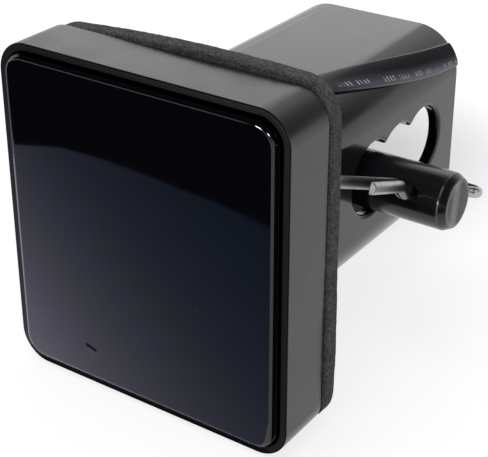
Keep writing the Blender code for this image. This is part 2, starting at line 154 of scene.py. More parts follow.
class Socket:
    """A value in a node tree; Python's operators on it add Math nodes.

    Args:
        maker: The node maker that owns the tree.
        source: The output that carries the value.
    """

    def __init__(self, maker: "NodeMaker", source: bpy.types.NodeSocket) -> None:
        """Keep the maker and the output."""
        self.maker = maker
        self.source = source

    def _math(self, operation: str, *values: "Socket | float") -> "Socket":
        """Add one Math node over the given values.

        Args:
            operation: The node's operation.
            values: Its operands in order.

        Returns:
            The node's result.
        """
        return self.maker.node("ShaderNodeMath", {"operation": operation},
                               dict(enumerate(values)))

    def __add__(self, other: "Socket | float") -> "Socket":
        """Sum."""
        return self._math("ADD", self, other)

    __radd__ = __add__

    def __sub__(self, other: "Socket | float") -> "Socket":
        """Difference."""
        return self._math("SUBTRACT", self, other)

    def __rsub__(self, other: "Socket | float") -> "Socket":
        """Difference, the other way round."""
        return self._math("SUBTRACT", other, self)

    def __mul__(self, other: "Socket | float") -> "Socket":
        """Product."""
        return self._math("MULTIPLY", self, other)

    __rmul__ = __mul__

    def __truediv__(self, other: "Socket | float") -> "Socket":
        """Quotient."""
        return self._math("DIVIDE", self, other)

    def __rtruediv__(self, other: "Socket | float") -> "Socket":
        """Quotient, the other way round."""
        return self._math("DIVIDE", other, self)

    def __abs__(self) -> "Socket":
        """Size without its sign."""
        return self._math("ABSOLUTE", self)

    def __pow__(self, other: float) -> "Socket":
        """Power."""
        return self._math("POWER", self, other)

    def __rpow__(self, other: float) -> "Socket":
        """A number to the power of this value."""
        return self._math("POWER", other, self)

    def __mod__(self, other: float) -> "Socket":
        """Remainder that is never negative."""
        return self._math("FLOORED_MODULO", self, other)

    def __lt__(self, other: "Socket | float") -> "Socket":
        """1 where this is less, else 0."""
        return self._math("LESS_THAN", self, other)

    def __gt__(self, other: "Socket | float") -> "Socket":
        """1 where this is more, else 0."""
        return self._math("GREATER_THAN", self, other)

    def diagonal(self, other: "Socket") -> "Socket":
        """Length of the line whose two legs are this and another value."""
        return (self ** 2.0 + other ** 2.0) ** 0.5

    def least(self, other: "Socket | float") -> "Socket":
        """The smaller of two values."""
        return self._math("MINIMUM", self, other)

    def most(self, other: "Socket | float") -> "Socket":
        """The larger of two values."""
        return self._math("MAXIMUM", self, other)

    def step(self, low: float, high: float, start: float = 0.0, end: float = 1.0) -> "Socket":
        """Smooth ramp from start at low to end at high.

        Args:
            low: Value at which the ramp begins.
            high: Value at which it ends.
            start: Result below low.
            end: Result above high.

        Returns:
            The ramp's result.
        """
        return self.maker.node("ShaderNodeMapRange", {"interpolation_type": "SMOOTHSTEP"},
                               {"Value": self, "From Min": low, "From Max": high,
                                "To Min": start, "To Max": end})

    def fall(self, low: float, high: float) -> "Socket":
        """Smooth ramp from 1 at low to 0 at high."""
        return self.step(low, high, 1.0, 0.0)

    def spread(self, low: float, high: float) -> "Socket":
        """Level between low and high, where this is cloudy noise."""
        return self.step(*CLOUDY, low, high)


@dataclass(frozen=True)
class Grain:
    """Settings of a cloudy noise.

    Args:
        scale: Waves per metre.
        detail: Octaves.
        rough: Share of the finer octaves.
    """

    scale: float
    detail: float = 2.0
    rough: float = 0.5


class NodeMaker:
    """Makes the nodes of one material.

    Args:
        name: The material's name.
    """

    def __init__(self, name: str) -> None:
        """Start an empty material."""
        self.material = bpy.data.materials.new(name)
        self.material.use_nodes = True
        self.tree = self.material.node_tree
        self.tree.nodes.clear()
        self._place: Socket | None = None

    def node(self, kind: str, settings: dict[str, object] | None = None,
             inputs: dict[str | int, object] | None = None, output: str | int = 0) -> Socket:
        """Add a node: its settings first, then the values or links of its sockets.

        Args:
            kind: The node's type.
            settings: Its properties.
            inputs: Values or sockets by input name or place.
            output: The output that is wanted.

        Returns:
            That output.
        """
        made = self.tree.nodes.new(kind)
        for name, value in (settings or {}).items():
            setattr(made, name, value)
        for key, value in (inputs or {}).items():
            if isinstance(value, Socket):
                self.tree.links.new(value.source, made.inputs[key])
            else:
                made.inputs[key].default_value = value
        return Socket(self, made.outputs[output] if len(made.outputs) else None)

    def place(self) -> Socket:
        """The point in the object's own coordinates, which are the frame's metres."""
        if self._place is None:
            self._place = self.node("ShaderNodeTexCoord", output="Object")
        return self._place

    def axis(self, letter: str) -> Socket:
        """One coordinate of the point, in millimetres.

        Args:
            letter: X, Y or Z.

        Returns:
            The coordinate.
        """
        return self.node("ShaderNodeSeparateXYZ", {}, {0: self.place()}, letter) * (1 / MM)

    def stretched(self, along: Point) -> Socket:
        """The point with each coordinate scaled, so that a texture runs in streaks.

        Args:
            along: The three factors.

        Returns:
            The scaled point.
        """
        return self.node("ShaderNodeVectorMath", {"operation": "MULTIPLY"},
                         {0: self.place(), 1: along})

    def noise(self, grain: Grain, where: Socket | None = None) -> Socket:
        """Cloudy noise from 0 to 1.

        Args:
            grain: Its settings.
            where: The point, or the object's own.

        Returns:
            The noise.
        """
        return self.node("ShaderNodeTexNoise", {},
                         {"Vector": where or self.place(), "Scale": grain.scale,
                          "Detail": grain.detail, "Roughness": grain.rough})

    def bands(self, where: Socket, scale: float) -> Socket:
        """Noise from 0 to 1 that changes along one coordinate only.

        Args:
            where: The coordinate.
            scale: Waves per millimetre.

        Returns:
            The noise.
        """
        return self.node("ShaderNodeTexNoise", {"noise_dimensions": "1D"},
                         {"W": where, "Scale": scale, "Detail": 3.0, "Roughness": 0.7})

    def cells(self, scale: float) -> Socket:
        """Distance to the middle of the nearest cell.

        Args:
            scale: Cells per metre.

        Returns:
            The distance, in cells.
        """
        return self.node("ShaderNodeTexVoronoi", {}, {"Vector": self.place(), "Scale": scale})

    def blend(self, share: Socket | float, first: "Socket | Colour",
              second: "Socket | Colour") -> Socket:
        """Mix of two colours.

        Args:
            share: How much of the second shows.
            first: The first colour.
            second: The second colour.

        Returns:
            The mixed colour.
        """
        values: dict[str | int, object] = {0: share}
        for place, value in zip(MIX_INPUTS, (first, second)):
            values[place] = value if isinstance(value, Socket) else (*value, 1.0)
        return self.node("ShaderNodeMix", {"data_type": "RGBA"}, values, MIX_RESULT)

    def bump(self, height: Socket, depth: float, strength: float = 1.0,
             under: Socket | None = None) -> Socket:
        """Surface relief.

        Args:
            height: Relief from 0 to 1.
            depth: Its full depth in metres.
            strength: Share of it that shows.
            under: A coarser relief that it lies on.

        Returns:
            The bent normal.
        """
        inputs: dict[str | int, object] = {"Height": height, "Distance": depth,
                                           "Strength": strength}
        if under is not None:
            inputs["Normal"] = under
        return self.node("ShaderNodeBump", {}, inputs, "Normal")

    def finish(self, inputs: dict[str | int, object]) -> bpy.types.Material:
        """Close the material with a Principled shader.

        Args:
            inputs: Values or sockets of the shader.

        Returns:
            The material.
        """
        shader = self.node("ShaderNodeBsdfPrincipled", {}, inputs)
        self.node("ShaderNodeOutputMaterial", {}, {"Surface": shader})
        return self.material


# ------------------------------------------------------------------------------- finishes


@dataclass(frozen=True)
class SatinMoulding:
    """Black moulded plastic with a very fine spark-eroded grain and a dull front rim, whose
    reflection is taken away as painted shade.
    """

    name: str = "satin_black_plastic"
    slot: str = "cap_plastic"
    colour: Colour = (0.013, 0.013, 0.0145)
    scuff: Colour = (0.035, 0.035, 0.037)
    scuff_lines: Point = (1.0, 0.25, 1.0)
    scuff_share: float = 0.35
    # Colour of the front rim, which is made dead black as painted shade.
    rim: Colour = (0.013, 0.013, 0.014)
    rim_shade_span: Span = (0.08, 0.4)
    rim_shade_share: float = 0.95
    rim_dull: float = 0.2
    roughness: float = 0.26
    clouds: Grain = Grain(45.0, 4.0, 0.6)
    fine: Grain = Grain(2600.0, 3.0, 0.6)
    fine_depth: float = 0.012 * MM
    scratches: Grain = Grain(700.0, 5.0, 0.75)
    scratch_from: Span = (0.62, 0.74)

    def build(self) -> bpy.types.Material:
        """Build the material."""
        make = NodeMaker(self.name)
        clouds, fine = make.noise(self.clouds), make.noise(self.fine)
        scuffs = make.noise(self.scratches, make.stretched(self.scuff_lines)) \
            .step(*self.scratch_from)
        # Painted shade: the front rim turns metallic near-black, so it reflects nothing and
        # renders dark.
        front = make.axis("Y").fall(*self.rim_shade_span)
        tone = make.blend(scuffs * self.scuff_share, self.colour, self.scuff)
        return make.finish({
            "Base Color": make.blend(front, tone, self.rim),
            "Metallic": front * self.rim_shade_share,
            "Roughness": clouds.spread(self.roughness - 0.03, self.roughness + 0.05)
            + scuffs * 0.06 + front * self.rim_dull,
            "Normal": make.bump(fine, self.fine_depth, 0.55),
        })


@dataclass(frozen=True)
class PolishedPanel:
    """Polished black panel with dust specks, a small dark dash, painted shade at the foot of its
    right and top margins and a painted highlight line along its bottom margin.
    """

    name: str = "polished_black"
    slot: str = "panel_gloss"
    colour: Colour = (0.0025, 0.0025, 0.004)
    dust: Colour = (0.22, 0.22, 0.23)
    dust_share: float = 0.8
    roughness: float = 0.035
    ior: float = 1.5
    waves: Grain = Grain(14.0, 1.0, 0.3)
    wave_depth: float = 0.05 * MM
    smears: Grain = Grain(26.0, 4.0, 0.6)
    smear_lines: Point = (1.0, 1.0, 0.35)
    dust_clouds: Grain = Grain(60.0, 1.0)
    dust_from: Span = (0.5, 0.62)
    speck_cells: float = 95.0
    speck_r: float = 0.012
    mark: Station = (-15.1, -30.6)
    mark_tilt: float = math.radians(-14.0)
    dash_half: Span = (1.4, 1.8)
    dash_thick: Span = (0.35, 0.6)
    wedge_tip: Station = (0.6, -3.2)
    wedge_lean: float = 0.5
    wedge_share: float = 0.05
    # Painted shade: where the foot of the right and top margins is made dead black.
    shade_foot_y: Span = (-1.0, -0.75)
    shade_foot_x: Span = (34.0, 35.6)
    shade_foot_z: Span = (36.0, 37.6)
    # Painted highlight: where a pale line is painted along the bottom margin.
    highlight_z: Span = (-38.4, -37.6)
    highlight_near: Span = (-1.42, -1.3)
    highlight_far: Span = (-0.5, -0.2)
    highlight_share: float = 0.9

    def _mark(self, make: NodeMaker) -> tuple[Socket, Socket]:
        """The dark dash and the faint wedge under it.

        Args:
            make: The material's node maker.

        Returns:
            The dash's and the wedge's masks.
        """
        x, z = make.axis("X") - self.mark[0], make.axis("Z") - self.mark[1]
        turn_c, turn_s = math.cos(self.mark_tilt), math.sin(self.mark_tilt)
        along, over = x * turn_c + z * turn_s, z * turn_c - x * turn_s
        dash = abs(along).fall(*self.dash_half) * abs(over).fall(*self.dash_thick)
        side = abs(along - self.wedge_tip[0]) - (over - self.wedge_tip[1]) * self.wedge_lean
        return dash, side.fall(0.0, 0.3) * over.fall(-0.6, -0.3)

    def build(self) -> bpy.types.Material:
        """Build the material."""
        make = NodeMaker(self.name)
        smears = make.noise(self.smears, make.stretched(self.smear_lines))
        specks = make.cells(self.speck_cells).fall(self.speck_r, self.speck_r * 2.2)
        dusty = specks * make.noise(self.dust_clouds).step(*self.dust_from)
        waves = make.noise(self.waves)
        dash, wedge = self._mark(make)
        across, deep, high = (make.axis(letter) for letter in "XYZ")
        # Painted shade: the foot of the right and top margins turns metallic black and reflects
        # nothing.
        painted_shade_foot = deep.step(*self.shade_foot_y) * across.step(*self.shade_foot_x).most(high.step(*self.shade_foot_z))
        # Painted highlight: a pale line along the bottom margin, in the dust colour.
        painted_highlight = high.fall(*self.highlight_z) * deep.step(*self.highlight_near) * deep.fall(*self.highlight_far)
        tone = make.blend(dusty * self.dust_share + wedge * self.wedge_share, self.colour,
                          self.dust)
        return make.finish({
            "Base Color": make.blend(painted_highlight * self.highlight_share, tone, self.dust),
            "Metallic": (dash + painted_shade_foot).least(1.0),
            "Roughness": smears.step(0.35, 0.75, self.roughness, self.roughness + 0.03)
            + dusty * 0.5,
            "Normal": make.bump(waves, self.wave_depth, 0.5),
            "IOR": self.ior,
        })


@dataclass(frozen=True)
class FoamSkin:
    """Dark grey open foam, mottled and grainy."""

    name: str = "grained_foam"
    slot: str = "foam"
    dark: Colour = (0.03, 0.03, 0.031)
    pale: Colour = (0.115, 0.115, 0.118)
    pores: float = 1900.0
    clouds: Grain = Grain(300.0, 4.0, 0.7)
    grain: Grain = Grain(1650.0, 3.0, 0.8)
    pore_depth: float = 0.22 * MM
    roughness: float = 0.95
    sheen: float = 0.25

    def build(self) -> bpy.types.Material:
        """Build the material."""
        make = NodeMaker(self.name)
        clouds, grain = make.noise(self.clouds), make.noise(self.grain)
        pores = make.cells(self.pores)
        relief = pores * 0.7 + grain * 0.8
        tone = (clouds * 0.3 + grain * 1.1 + pores * 0.15 - 0.3).step(0.28, 0.74)
        return make.finish({
            "Base Color": make.blend(tone, self.dark, self.pale),
            "Roughness": self.roughness,
            "Specular IOR Level": self.sheen,
            "Normal": make.bump(relief, self.pore_depth, 0.9),
        })


@dataclass(frozen=True)
class GlossPaint:
    """Gloss black paint on steel, with a slight orange peel, and painted shade in the slot, whose
    walls are made dead black.
    """

    name: str = "gloss_black_paint"
    slot: str = "tube_paint"
    colour: Colour = (0.010, 0.010, 0.011)
    dusted: Colour = (0.03, 0.03, 0.031)
    dust: Grain = Grain(3200.0, 2.0, 0.6)
    dust_from: Span = (0.5, 0.8)
    dust_share: float = 0.3
    clouds: Grain = Grain(38.0, 3.0, 0.6)
    roughness: float = 0.13
    inside_dull: float = 0.65
    peel: Grain = Grain(320.0, 2.0, 0.5)
    peel_depth: float = 0.015 * MM
    nib_cells: float = 160.0
    nib_r: Span = (0.03, 0.07)
    nib_clouds: Grain = Grain(90.0, 1.0)
    nib_from: Span = (0.5, 0.6)
    nib_depth: float = 0.03 * MM
    corner_at: float = (CoverSizes.tube_side / 2 - CoverSizes.tube_r) / MM
    inside_r: Span = (9.0, 9.3)
    # Where shade is painted in the slot.
    slot_wall_x: Span = (24.4, 24.7)
    slot_reach: Span = (10.0, 10.6)
    slot_shade_share: float = 0.8
    first_hole: Station = (CoverSizes.slot_first_y / MM, CoverSizes.slot_z / MM)
    shade_under_pin: Span = (-5.5, -4.0)

    def _painted_slot_shade(self, make: NodeMaker) -> Socket:
        """The slot's walls, and its broken edge under the pin, where shade is painted.

        Args:
            make: The material's node maker.

        Returns:
            The mask.
        """
        x, y, z = (make.axis(letter) for letter in "XYZ")
        wall = abs(x).fall(*self.slot_wall_x) * (abs(z) < self.slot_reach[0])
        from_hole = (y - self.first_hole[0]).diagonal(z - self.first_hole[1])
        return wall.most(from_hole.fall(*self.slot_reach) * z.fall(*self.shade_under_pin))

    def build(self) -> bpy.types.Material:
        """Build the material."""
        make = NodeMaker(self.name)
        side = [(abs(make.axis(letter)) - self.corner_at).most(0.0) for letter in "XZ"]
        inside = side[0].diagonal(side[1]).fall(*self.inside_r)
        peel = make.noise(self.peel)
        dust = make.noise(self.dust).step(*self.dust_from)
        clouds = make.noise(self.clouds)
        nibs = make.cells(self.nib_cells).fall(*self.nib_r) \
            * make.noise(self.nib_clouds).step(*self.nib_from)
        relief = make.bump(peel, self.peel_depth, 0.6)
        return make.finish({
            "Base Color": make.blend(dust * self.dust_share, self.colour, self.dusted),
            "Roughness": clouds.spread(self.roughness - 0.02, self.roughness + 0.05)
            + inside * self.inside_dull,
            # Painted shade: the slot's walls turn metallic near-black and reflect nothing.
            "Metallic": self._painted_slot_shade(make) * self.slot_shade_share,
            "Normal": make.bump(nibs, self.nib_depth, 0.5, relief),
        })


@dataclass(frozen=True)
class PinBlack:
    """Glossy black pin with a bare, turned end face that carries a painted sheen, and a worn
    chamfer whose pale rings are partly painted highlights.
    """

    name: str = "glossy_pin_black"
    slot: str = "pin_black"
    colour: Colour = (0.008, 0.008, 0.010)
    bare: Colour = (0.045, 0.045, 0.048)
    bright: Colour = (0.24, 0.24, 0.245)
    wear_and_highlight: Colour = (0.13, 0.13, 0.135)
    scuff_share: float = 0.8
    roughness: float = 0.17
    end_dull: float = 0.28
    relief_depth: float = 0.01 * MM
    grit: Grain = Grain(1500.0, 4.0, 0.7)
    clouds: Grain = Grain(120.0, 3.0, 0.6)
    ring_waves: float = 7.0
    line_waves: float = 3.0
    wear: Grain = Grain(260.0, 3.0, 0.7)
    wear_from: Span = (0.38, 0.62)
    wear_and_highlight_x: float = 44.95
    end_x: float = CoverSizes.pin_end_x / MM
    end_r: float = 6.0
    sheen_lip_r: Span = (4.6, 5.8)
    axis: Station = (CoverSizes.pin_y / MM, CoverSizes.pin_z / MM)
    # Where the painted sheen lies on the end face.
    painted_sheen_at: float = -1.3
    painted_sheen_lean: float = 0.12
    painted_sheen_half: float = 3.4

    def _end_tone(self, make: NodeMaker, out: Socket, rings: Socket, grit: Socket) -> Socket:
        """Colour of the end face: turned rings, grit, and a painted sheen: a pale streak and a
        pale lip.

        Args:
            make: The material's node maker.
            out: Distance from the pin's axis.
            rings: Noise in rings about it.
            grit: Fine noise.

        Returns:
            The colour.
        """
        # Painted sheen: a pale band across the end face and a pale outer ring.
        aside = make.axis("Y") - make.axis("Z") * self.painted_sheen_lean - self.axis[0] - self.painted_sheen_at
        painted_sheen = (abs(aside) / self.painted_sheen_half).fall(0.0, 1.0)
        lip = out.step(*self.sheen_lip_r)
        share = (rings * 0.5 + grit * 0.45 + painted_sheen * 0.45 + lip * 0.3 - 0.2).step(0.1, 1.0)
        return make.blend(share, self.bare, self.bright)

    def build(self) -> bpy.types.Material:
        """Build the material."""
        make = NodeMaker(self.name)
        x, y, z = (make.axis(letter) for letter in "XYZ")
        end = x.step(self.end_x - 0.12, self.end_x - 0.03)
        out = (y - self.axis[0]).diagonal(z - self.axis[1])
        rings, lines = make.bands(out, self.ring_waves), make.bands(x, self.line_waves)
        grit, clouds = make.noise(self.grit), make.noise(self.clouds)
        worn = make.noise(self.wear).step(*self.wear_from)
        # Worn paint and painted highlight: pale rings at the chamfer's start and at the end face's
        # edge, broken by wear noise.
        edge = (abs(x - self.wear_and_highlight_x).fall(0.06, 0.34)
                + abs(out - self.end_r).fall(0.05, 0.3)
                * x.step(self.end_x - 0.5, self.end_x - 0.3)) * worn
        skin_tone = make.blend(end, self.colour, self._end_tone(make, out, rings, grit))
        relief = (lines * 0.25 + clouds * 0.5) * (1 - end) + (rings + grit) * end
        return make.finish({
            "Base Color": make.blend(edge.least(1.0) * self.scuff_share, skin_tone,
                                     self.wear_and_highlight),
            "Roughness": clouds.spread(self.roughness - 0.02, self.roughness + 0.07)
            + end * self.end_dull,
            "Metallic": end,
            "Normal": make.bump(relief, self.relief_depth, 0.6),
        })


@dataclass(frozen=True)
class BrightZinc:
    """Bright zinc plate, drawn in fine lines along the wire, with painted shade along the legs'
    middle and on the legs just outside the pin.
    """

    name: str = "bright_zinc"
    slot: str = "zinc"
    colour: Colour = (0.44, 0.44, 0.445)
    dull: Colour = (0.3, 0.3, 0.305)
    roughness: float = 0.27
    drawn: Grain = Grain(1.0, 3.0, 0.65)
    lines: Point = (2600.0, 500.0, 1500.0)
    line_depth: float = 0.006 * MM
    clouds: Grain = Grain(420.0, 4.0, 0.65)
    # Colour of the painted shade on the legs.
    painted_shade: Colour = (0.15, 0.15, 0.155)
    painted_shade_share: float = 0.9
    painted_shade_from: Span = (9.0, 11.5)
    painted_shade_off: Span = (0.35, 1.15)
    # Where shade is painted on the legs just outside the pin.
    neck: Span = (14.2, 16.4)
    shaded_neck_from: float = 6.5
    axis: Station = (CoverSizes.pin_y / MM, CoverSizes.pin_z / MM)
    tilt: float = CoverSizes.pin_hole_tilt
    lifted: float = 2.05

    def build(self) -> bpy.types.Material:
        """Build the material."""
        make = NodeMaker(self.name)
        y, z = make.axis("Y") - self.axis[0], make.axis("Z") - self.axis[1]
        along = z * math.sin(self.tilt) - y * math.cos(self.tilt)
        over = y * math.sin(self.tilt) + z * math.cos(self.tilt) - self.lifted
        # Painted shade: a band along the legs' middle, and the legs just outside the pin, are
        # darkened.
        painted_shade = abs(over).step(*self.painted_shade_off, self.painted_shade_share, 0.0) \
            * along.step(*self.painted_shade_from)
        neck = along.step(*self.neck, self.painted_shade_share, 0.0) * (along > self.shaded_neck_from)
        drawn = make.noise(self.drawn, make.stretched(self.lines))
        clouds = make.noise(self.clouds)
        plate = make.blend(clouds.step(0.35, 0.75), self.colour, self.dull)
        return make.finish({
            "Base Color": make.blend(painted_shade.most(neck), plate, self.painted_shade),
            "Metallic": 1.0,
            "Roughness": clouds.step(0.3, 0.75, self.roughness, self.roughness + 0.08),
            "Normal": make.bump(drawn, self.line_depth, 0.35),
        })


@dataclass(frozen=True)
class CutEnd:
    """Pale sheared end of plated wire."""

    name: str = "sheared_end"
    slot: str = "zinc"
    colour: Colour = (0.82, 0.82, 0.82)
    torn: Colour = (0.62, 0.62, 0.62)
    tears: Grain = Grain(2400.0, 3.0, 0.7)
    torn_depth: float = 0.02 * MM
    metal: float = 0.15

    def build(self) -> bpy.types.Material:
        """Build the material."""
        make = NodeMaker(self.name)
        torn = make.noise(self.tears)
        return make.finish({
            "Base Color": make.blend(torn, self.colour, self.torn),
            "Metallic": self.metal,
            "Roughness": torn.spread(0.45, 0.6),
            "Normal": make.bump(torn, self.torn_depth, 0.6),
        })


@dataclass(frozen=True)
class SleeveFilm:
    """Glossy black film with painted light: pale highlight lines along its edges and a paler
    purple-grey lower band that brightens towards the rear, with small worn marks.
    """

    name: str = "sleeve_film"
    slot: str = "sleeve"
    black: Colour = (0.006, 0.006, 0.008)
    # Painted light: colours of the paler lower band.
    lit_band: Colour = (0.055, 0.05, 0.068)
    lit_band_dark: Colour = (0.04, 0.037, 0.05)
    # Colour of the highlight lines painted along the edges.
    edge: Colour = (0.42, 0.42, 0.44)
    lit_rear: Colour = (0.2, 0.19, 0.22)
    sheen: float = 0.05
    clouds: Grain = Grain(260.0, 4.0, 0.65)
    creases: Grain = Grain(130.0, 3.0, 0.6)
    crease_depth: float = 0.12 * MM
    wear: Grain = Grain(1500.0, 3.0, 0.7)
    wear_from: Span = (0.36, 0.6)
    fading: Grain = Grain(170.0, 2.0, 0.5)
    fading_from: Span = (0.42, 0.62)
    print_colour: Colour = (0.42, 0.42, 0.47)
    pitch: float = 1.15
    left_out: float = 0.25
    row: Span = (0.1, 0.3)
    row_edge: float = 0.03
    # Where the painted light grows along the sleeve, in millimetres.
    light_along: Span = (20.0, 80.0)
    band: Span = (0.3, 0.52)

    def _strokes(self, make: NodeMaker, along: Socket, across: Socket) -> Socket:
        """Plain short strokes in a row, uneven and partly rubbed off.

        Args:
            make: The material's node maker.
            along: Place along the sleeve, in millimetres.
            across: Place across it, from 0 to 1.

        Returns:
            The mask.
        """
        low, high = self.row
        within = across.step(low, low + self.row_edge) * across.fall(high - self.row_edge, high)
        cell = along / self.pitch
        beat = make.node("ShaderNodeTexWhiteNoise", {"noise_dimensions": "1D"},
                         {"W": cell - cell % 1.0})
        stroke = (cell % 1.0).step(0.02, 0.12) * (cell % 1.0).fall(0.3, 0.62)
        worn = make.noise(self.wear).step(*self.wear_from, 0.1, 1.0)
        faint = make.noise(self.fading).step(*self.fading_from, 0.25, 0.9)
        return stroke * (beat > self.left_out) * within * worn * faint

    def build(self) -> bpy.types.Material:
        """Build the material; the mesh's map runs along in millimetres and across from 0 to 1."""
        make = NodeMaker(self.name)
        plan = make.node("ShaderNodeUVMap", {"uv_map": SLEEVE_MAP})
        along, across = (make.node("ShaderNodeSeparateXYZ", {}, {0: plan}, axis) for axis in "XY")
        clouds = make.noise(self.clouds)
        to_end = along.step(*self.light_along)
        # Painted light: the lower band is paler, more so towards the rear.
        band = across.fall(*self.band) * (to_end * 0.6 + 0.4)
        # Painted highlights: a pale line along the upper edge, and along the lower edge towards
        # the rear.
        rim = across.step(0.955, 0.99) * 0.8 + across.fall(0.01, 0.05) * to_end * 0.5
        tone = make.blend(band, self.black, make.blend(clouds, self.lit_band, self.lit_band_dark))
        # Painted light: the lower side grows paler near the rear end.
        tone = make.blend(to_end * across.step(0.04, 0.34, 0.85, 0.0), tone, self.lit_rear)
        tone = make.blend(self._strokes(make, along, across), tone, self.print_colour)
        return make.finish({
            "Base Color": make.blend(rim.least(1.0), tone, self.edge),
            "Roughness": clouds.spread(0.16, 0.24) + band * 0.14,
            "Specular IOR Level": self.sheen,
            "Normal": make.bump(make.noise(self.creases), self.crease_depth, 0.5),
        })


@dataclass(frozen=True)
class TapeFace:
    """Grey foam tape."""

    name: str = "grey_tape"
    slot: str = "tape"
    colour: Colour = (0.5, 0.5, 0.48)
    darker: Colour = (0.36, 0.36, 0.35)
    clouds: Grain = Grain(500.0, 3.0)
    roughness: float = 0.85
    pores: float = 1800.0
    pore_depth: float = 0.06 * MM

    def build(self) -> bpy.types.Material:
        """Build the material."""
        make = NodeMaker(self.name)
        return make.finish({
            "Base Color": make.blend(make.noise(self.clouds), self.colour, self.darker),
            "Roughness": self.roughness,
            "Normal": make.bump(make.cells(self.pores), self.pore_depth, 0.7),
        })


@dataclass(frozen=True)
class PlatePaint:
    """Satin black paint on the hidden steel plate."""

    name: str = "satin_plate_paint"
    slot: str = "plate_paint"
    colour: Colour = (0.016, 0.016, 0.018)
    paler: Colour = (0.028, 0.028, 0.03)
    peel: Grain = Grain(420.0, 3.0, 0.6)
    peel_depth: float = 0.03 * MM

    def build(self) -> bpy.types.Material:
        """Build the material."""
        make = NodeMaker(self.name)
        peel = make.noise(self.peel)
        return make.finish({
            "Base Color": make.blend(peel, self.colour, self.paler),
            "Roughness": peel.spread(0.34, 0.46),
            "Normal": make.bump(peel, self.peel_depth, 0.6),
        })


Finish = (SatinMoulding | PolishedPanel | FoamSkin | GlossPaint | PinBlack | BrightZinc
          | CutEnd | SleeveFilm | TapeFace | PlatePaint)


# --------------------------------------------------------------------------- mesh making


@dataclass(frozen=True)
class RoundedRect:
    """Outline of a rounded rectangle about the tube's axis, seen from the front."""

    width: float
    height: float
    radius: float
    corner_steps: int = 24
    side_steps: int = 1

    def inset(self, amount: float) -> "RoundedRect":
        """The same outline moved in, or out where the amount is negative."""
        return RoundedRect(self.width - 2 * amount, self.height - 2 * amount,
                           max(self.radius - amount, 0.05 * MM), self.corner_steps,
                           self.side_steps)

    def points(self) -> list[tuple[float, float]]:
        """Points (x, z), counter-clockwise from the right side.

        Returns:
            The outline's points.
        """
        found: list[tuple[float, float]] = []
        for quarter in range(4):
            sx = 1 if quarter in (0, 3) else -1
            sz = 1 if quarter in (0, 1) else -1
            cx, cz = sx * (self.width / 2 - self.radius), sz * (self.height / 2 - self.radius)
            for step in range(self.corner_steps + 1):
                turn = math.pi / 2 * (quarter + step / self.corner_steps)
                found.append((cx + self.radius * math.cos(turn),
                              cz + self.radius * math.sin(turn)))
            side = (self.width if quarter in (0, 2) else self.height) - 2 * self.radius
            last = found[-1]
            found += [(last[0] - math.sin(turn) * side * k / self.side_steps,
                       last[1] + math.cos(turn) * side * k / self.side_steps)
                      for k in range(1, self.side_steps)]
        return found

    def loop(self, y: float) -> Loop:
        """The outline's points in the plane at y."""
        return [Vector((x, y, z)) for x, z in self.points()]


def reached(loop: Loop, down: float, left: float = 0.0) -> Loop:
    """The loop with its lower half moved down and its left half moved left.

    Args:
        loop: The loop, about the tube's axis.
        down: How far the lower half moves.
        left: How far the left half moves.

    Returns:
        The longer loop.
    """
    return [Vector((p.x - (left if p.x < 0 else 0.0), p.y, p.z - (down if p.z < 0 else 0.0)))
            for p in loop]


def quarter_round(radius: float, steps: int) -> list[Station]:
    """A quarter circle's (inset, depth) pairs, from the side to the face it leads into.

    Args:
        radius: The rounding's radius.
        steps: Its segments.

    Returns:
        Pairs from (0, radius) to (radius, 0).
    """
    turns = [math.pi / 2 * k / steps for k in range(steps + 1)]
    return [(radius * (1 - math.cos(t)), radius * (1 - math.sin(t))) for t in turns]


def rounded_profile(corners: Sequence[tuple[float, float, float]], steps: int = 5
                    ) -> list[Station]:
    """Profile whose corners are rounded.

    Args:
        corners: (distance, radius from the axis, rounding) of each corner.
        steps: Segments of each rounding.

    Returns:
        The profile's stations.
    """
    found: list[Station] = []
    for index, (d, r, blend) in enumerate(corners):
        if blend <= 0 or index in (0, len(corners) - 1):
            found.append((d, r))
            continue
        here = Vector((d, r))
        before = (Vector(corners[index - 1][:2]) - here).normalized()
        after = (Vector(corners[index + 1][:2]) - here).normalized()
        for k in range(steps + 1):
            t = k / steps
            point = (here + before * blend) * (1 - t) ** 2 + here * 2 * t * (1 - t) \
                + (here + after * blend) * t ** 2
            found.append((point.x, point.y))
    return found


def circle(centre: Vector, axis_a: Vector, axis_b: Vector, radius: float, sides: int) -> Loop:
    """A circle of points in the plane of two axes.

    Args:
        centre: Its middle.
        axis_a: The plane's first axis.
        axis_b: The plane's second axis.
        radius: Its radius.
        sides: Number of points.

    Returns:
        The points.
    """
    turns = [2 * math.pi * k / sides for k in range(sides)]
    return [centre + axis_a * (radius * math.cos(t)) + axis_b * (radius * math.sin(t))
            for t in turns]


